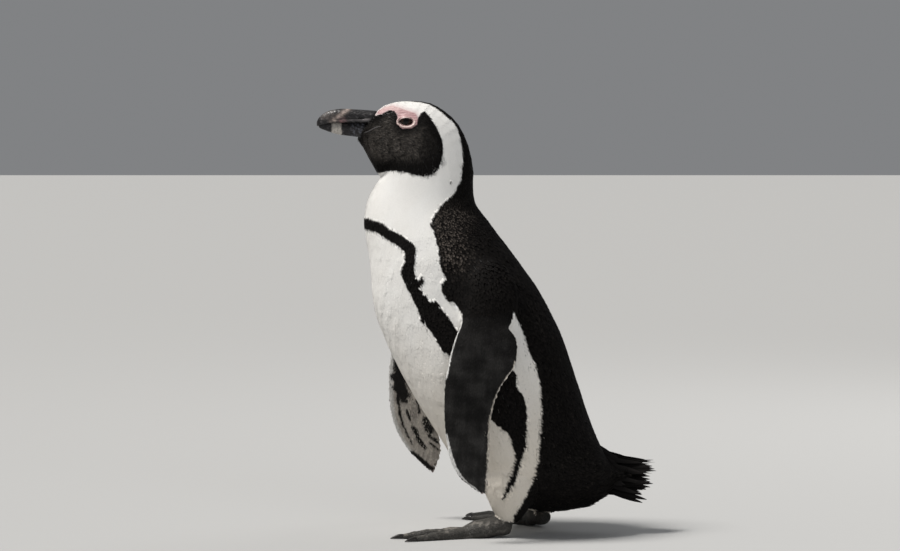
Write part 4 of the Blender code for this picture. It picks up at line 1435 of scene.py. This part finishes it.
def carve_upper_bill(places, normals):
    """Relief in millimetres and colour of the upper half."""
    paint = palette()
    _, y, z = places.T
    side = np.abs(normals[:, 0])
    groove_z = 435.2 + 0.03 * (y + 140) - 0.9 * smoothstep(-150, -168, y)
    groove = ridge(z - groove_z, 1.4) * smoothstep(-165, -157, y) * side
    nostril = np.hypot((y + 135.0) / 4.0, (z - groove_z) / 0.95)
    plate = ridge(z - (441.4 - 0.04 * (y + 140)), 0.7) * smoothstep(-158, -150, y) * side
    rings = np.sin((y + 0.35 * (z - 430)) * 1.35) * smoothstep(-150, -163, y)
    colours, scuffs = horn_colours(places, 61)
    tomium = ridge(z - 432.0 - 0.08 * (-153 - y), 1.3) * side
    relief = (-0.50 * groove - 1.1 * (1 - smoothstep(0.5, 1.1, nostril)) * side
              - 0.25 * plate + 0.05 * rings + 0.10 * scuffs + 0.18 * tomium)
    slant = (y + 161.4 - 1.18 * (z - 434.6)) / 1.55
    band = hump(slant, 0, 2.4) * smoothstep(430.0, 433.0, z)
    blotch = 0.55 + 0.45 * smoothstep(-0.4, 0.3, waves(places * (1, 0.6, 1), 3.2, 62))
    tip = plateau(y, -160, -166, -175, -180) * smoothstep(432, 436, z)
    bright = hump(y - 1.5 * (z - 434.0), -129.0, 4.5) * hump(z, 434.0, 1.5)
    flush = hump(y, -154.5, 3.6) * (1 - smoothstep(434.5, 437.5, z))
    edge = hump(z, groove_z - 1.7, 0.6) * plateau(y, -153, -148, -134, -126)
    edge *= 0.6 + 0.4 * waves(places, 3.0, 64)
    scuff, pale = paint["bill_scuff"], paint["bill_band"]
    return relief, layered(colours,
                           # The hook's top is paler grey: partly scuffed horn, partly a painted
                           # highlight.
                           (scuff * (1.05, 0.98, 0.9), 0.6 * tip * blotch),
                           (pale * (0.60, 0.52, 0.51), band * blotch),
                           (scuff * 1.9, 0.8 * bright * side),
                           (pale * (0.40, 0.24, 0.27), 0.8 * flush * blotch),
                           (scuff * 1.8, 0.7 * edge * side),
                           # The groove is darkened as painted shade.
                           (paint["bill"] * 0.35, 0.7 * groove))


def raise_lower_rim(places):
    """Closes the mouth: lifts the lower half's rim behind the upper half's edge and hook."""
    x, y, z = places.T
    low, high = (np.interp(y, (-177, -165, -150), levels)
                 for levels in ((425.2, 423.0, 422.0), (426.8, 428.8, 429.8)))
    share = np.clip((z - low) / (high - low), 0, 1)
    rise = 1.1 + 3.2 * smoothstep(-157, -174, y)
    inward = 0.12 * smoothstep(0.5, 1.0, share)
    forward = 3.2 * smoothstep(-163, -176, y)
    return np.column_stack((x * (1 - inward), y - forward, z + rise * share ** 1.5))


def carve_lower_bill(places, normals):
    """Relief in millimetres and colour of the lower half."""
    paint = palette()
    _, y, z = places.T
    side = np.abs(normals[:, 0])
    rings = np.sin(y * 1.5 + 0.2 * z) * smoothstep(-150, -160, y)
    plate = ridge(z - (424.0 - 0.05 * (y + 150)), 0.8) * side * smoothstep(-158, -148, y)
    colours, scuffs = horn_colours(places, 71)
    relief = 0.05 * rings + 0.10 * scuffs - 0.22 * plate
    band = plateau(y + 0.6 * waves(places, 6.0, 74), -166.5, -164.5, -156.5, -154.5)
    blotch = 0.80 + 0.20 * smoothstep(-0.6, 0.3, waves(places, 3.0, 72))
    bluish = smoothstep(-149, -143, y) * smoothstep(-0.2, 0.5, scuffs)
    return relief, layered(colours,
                           (paint["bill_scuff"] * (0.75, 0.85, 1.0), 0.7 * bluish),
                           (paint["bill_band"] * 0.68, band * blotch))


def add_gape(side, sign):
    """The fold of bare grey skin that runs back from the corner of the mouth."""
    tree = tree_of(bpy.data.objects["skin"])
    line = curve_through(GAPE, 6)
    around = 12
    deselect_all()
    bpy.ops.mesh.primitive_cylinder_add(vertices=around, radius=MM, depth=MM)
    fold = bpy.context.active_object
    fold.name = fold.data.name = "gape_fold_" + side
    rings = []
    for y, z, half in line:
        hit = tree.ray_cast(Vector((sign * 60, y, z)), Vector((-sign, 0, 0)))[0]
        x = sign * 9.5 if hit is None else hit.x
        for a in np.linspace(0, 2 * math.pi, around, endpoint=False):
            rings.append((x + sign * (0.25 + 0.75 * half * math.cos(a)), y,
                          z + half * math.sin(a)))
    steps = len(line)
    faces = [(around * i + k, around * i + (k + 1) % around,
              around * (i + 1) + (k + 1) % around, around * (i + 1) + k)
             for i in range(steps - 1) for k in range(around)]
    faces += [tuple(range(around)), tuple(around * (steps - 1) + k for k in range(around))]
    fold.data.clear_geometry()
    fold.data.from_pydata(world(rings).tolist(), [], faces)
    with editing(fold):
        bpy.ops.mesh.normals_make_consistent(inside=False)
    apply_modifier(fold, "SUBSURF", levels=1, render_levels=1)
    scuff = palette()["bill_scuff"]
    lit = smoothstep(0.2, 0.9, read_places(fold)[1][:, 2])
    colours = mix(scuff * 0.25, scuff * 0.9, lit)
    finish_smooth(fold, colours, "lid_skin")


# ---- claws ----

class PENGUIN_OT_claws(Operator):
    """Models the claws as smooth dark horn, each set into its toe"""

    bl_idname = "penguin.add_claws"
    bl_label = "Claws"

    def execute(self, context):
        paint = palette()
        for node in sorted(frame["nodes"]):
            if not node.startswith("claw"):
                continue
            claw = copy_of_nodes("horn_" + node, (node,))
            apply_modifier(claw, "REMESH", mode="VOXEL", voxel_size=CLAW_VOXEL * MM)
            apply_modifier(claw, "SMOOTH", factor=0.5, iterations=6)
            places, normals = read_places(claw)
            foot = own(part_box("foot_" + node.split("_")[1])).mean(axis=0)
            inward = unit(foot - places.mean(axis=0)) * (1, 1, 0)
            places += (normals @ inward > 0.6)[:, None] * inward * 1.6
            write_places(claw, places)
            reach = np.abs((places - foot) @ inward)
            paler_share = smoothstep(reach.max() - 5.0, reach.max(), reach)
            grain = waves(places * (1, 0.4, 1), 1.6, 91)
            colours = mix(paint["claw"], paint["claw"] * 2.2, paler_share)
            colours *= (1 + 0.4 * grain)[:, None]
            finish_smooth(claw, colours, "claw_keratin", (node,))
        return {"FINISHED"}


# ---- stage ----

# Each light's own place, its size (an angle for the sun, metres for a disk) and its colour.
LIGHTS = {"key": ((150, -950, 2000), math.radians(16), (1.0, 0.975, 0.94)),
          "fill": ((2100, 900, 900), 1.4, (0.93, 0.96, 1.0)),
          "back": ((-1300, 1300, 1500), 1.2, (1.0, 1.0, 1.0))}
LIGHTS_AIM = (0, -10, 240)
CAMERA_AIM = (0.0, -42.0, 270.4)


def aimed_object(data, place, aim):
    """An object for a light or camera at one own place, turned to another."""
    obj = bpy.data.objects.new(data.name, data)
    bpy.context.scene.collection.objects.link(obj)
    obj.location = place = Vector(world(place))
    obj.rotation_euler = (Vector(world(aim)) - place).to_track_quat("-Z", "Y").to_euler()
    return obj


def add_light(name, stage):
    """The key light is a sun, and the others are disks."""
    place, size, tint = LIGHTS[name]
    light = bpy.data.lights.new(name, "SUN" if name == "key" else "AREA")
    light.energy, light.color = stage.key if name == "key" else stage.fill, tint
    if name == "key":
        light.angle = size
    else:
        light.shape, light.size = "DISK", size
    aimed_object(light, place, LIGHTS_AIM).visible_glossy = name == "key"


class PENGUIN_OT_stage(Operator):
    """Adds the plain floor, the soft lights and the camera"""

    bl_idname = "penguin.add_stage"
    bl_label = "Stage"

    def execute(self, context):
        stage = settings().stage
        deselect_all()
        bpy.ops.mesh.primitive_plane_add(size=stage.floor_size)
        floor = context.active_object
        floor.name = floor.data.name = "floor"
        material = bpy.data.materials.new("floor")
        material.use_nodes = True
        shader = material.node_tree.nodes["Principled BSDF"]
        shader.inputs["Base Color"].default_value = (*stage.floor, 1)
        shader.inputs["Roughness"].default_value = 0.9
        floor.data.materials.append(material)
        sky = bpy.data.worlds.new("soft_sky")
        sky.use_nodes = True
        background = sky.node_tree.nodes["Background"]
        background.inputs["Color"].default_value = (0.95, 0.97, 1.0, 1.0)
        background.inputs["Strength"].default_value = stage.sky
        context.scene.world = sky
        context.scene.view_settings.view_transform = "Standard"
        for name in LIGHTS:
            add_light(name, stage)
        camera = bpy.data.cameras.new("camera")
        camera.lens = stage.focal_length
        camera.sensor_width = 36.0
        place = (stage.camera_away / MM, CAMERA_AIM[1], stage.camera_height / MM)
        context.scene.camera = aimed_object(camera, place, CAMERA_AIM)
        return {"FINISHED"}


class PENGUIN_PT_panel(Panel):
    """Lists the pieces in the sidebar"""

    bl_label = "African penguin"
    bl_space_type = "VIEW_3D"
    bl_region_type = "UI"
    bl_category = "Penguin"

    def draw(self, context):
        for operator in OPERATORS:
            self.layout.operator(operator.bl_idname)
        for group in (settings().sizes, settings().colours, settings().stage):
            box = self.layout.box()
            for name in group.__annotations__:
                box.prop(group, name)


OPERATORS = (PENGUIN_OT_skin, PENGUIN_OT_coat, PENGUIN_OT_tail, PENGUIN_OT_eyes,
             PENGUIN_OT_bill, PENGUIN_OT_claws, PENGUIN_OT_stage)
CLASSES = (PenguinSizes, PenguinColours, PenguinStage, PenguinSettings, *OPERATORS,
           PENGUIN_PT_panel)


def register():
    for cls in CLASSES:
        bpy.utils.register_class(cls)
    bpy.types.Scene.penguin = PointerProperty(type=PenguinSettings)


def unregister():
    del bpy.types.Scene.penguin
    for cls in reversed(CLASSES):
        bpy.utils.unregister_class(cls)


def main():
    register()
    for operator in OPERATORS:
        group, name = operator.bl_idname.split(".")
        getattr(getattr(bpy.ops, group), name)()


if __name__ == "__main__":
    main()
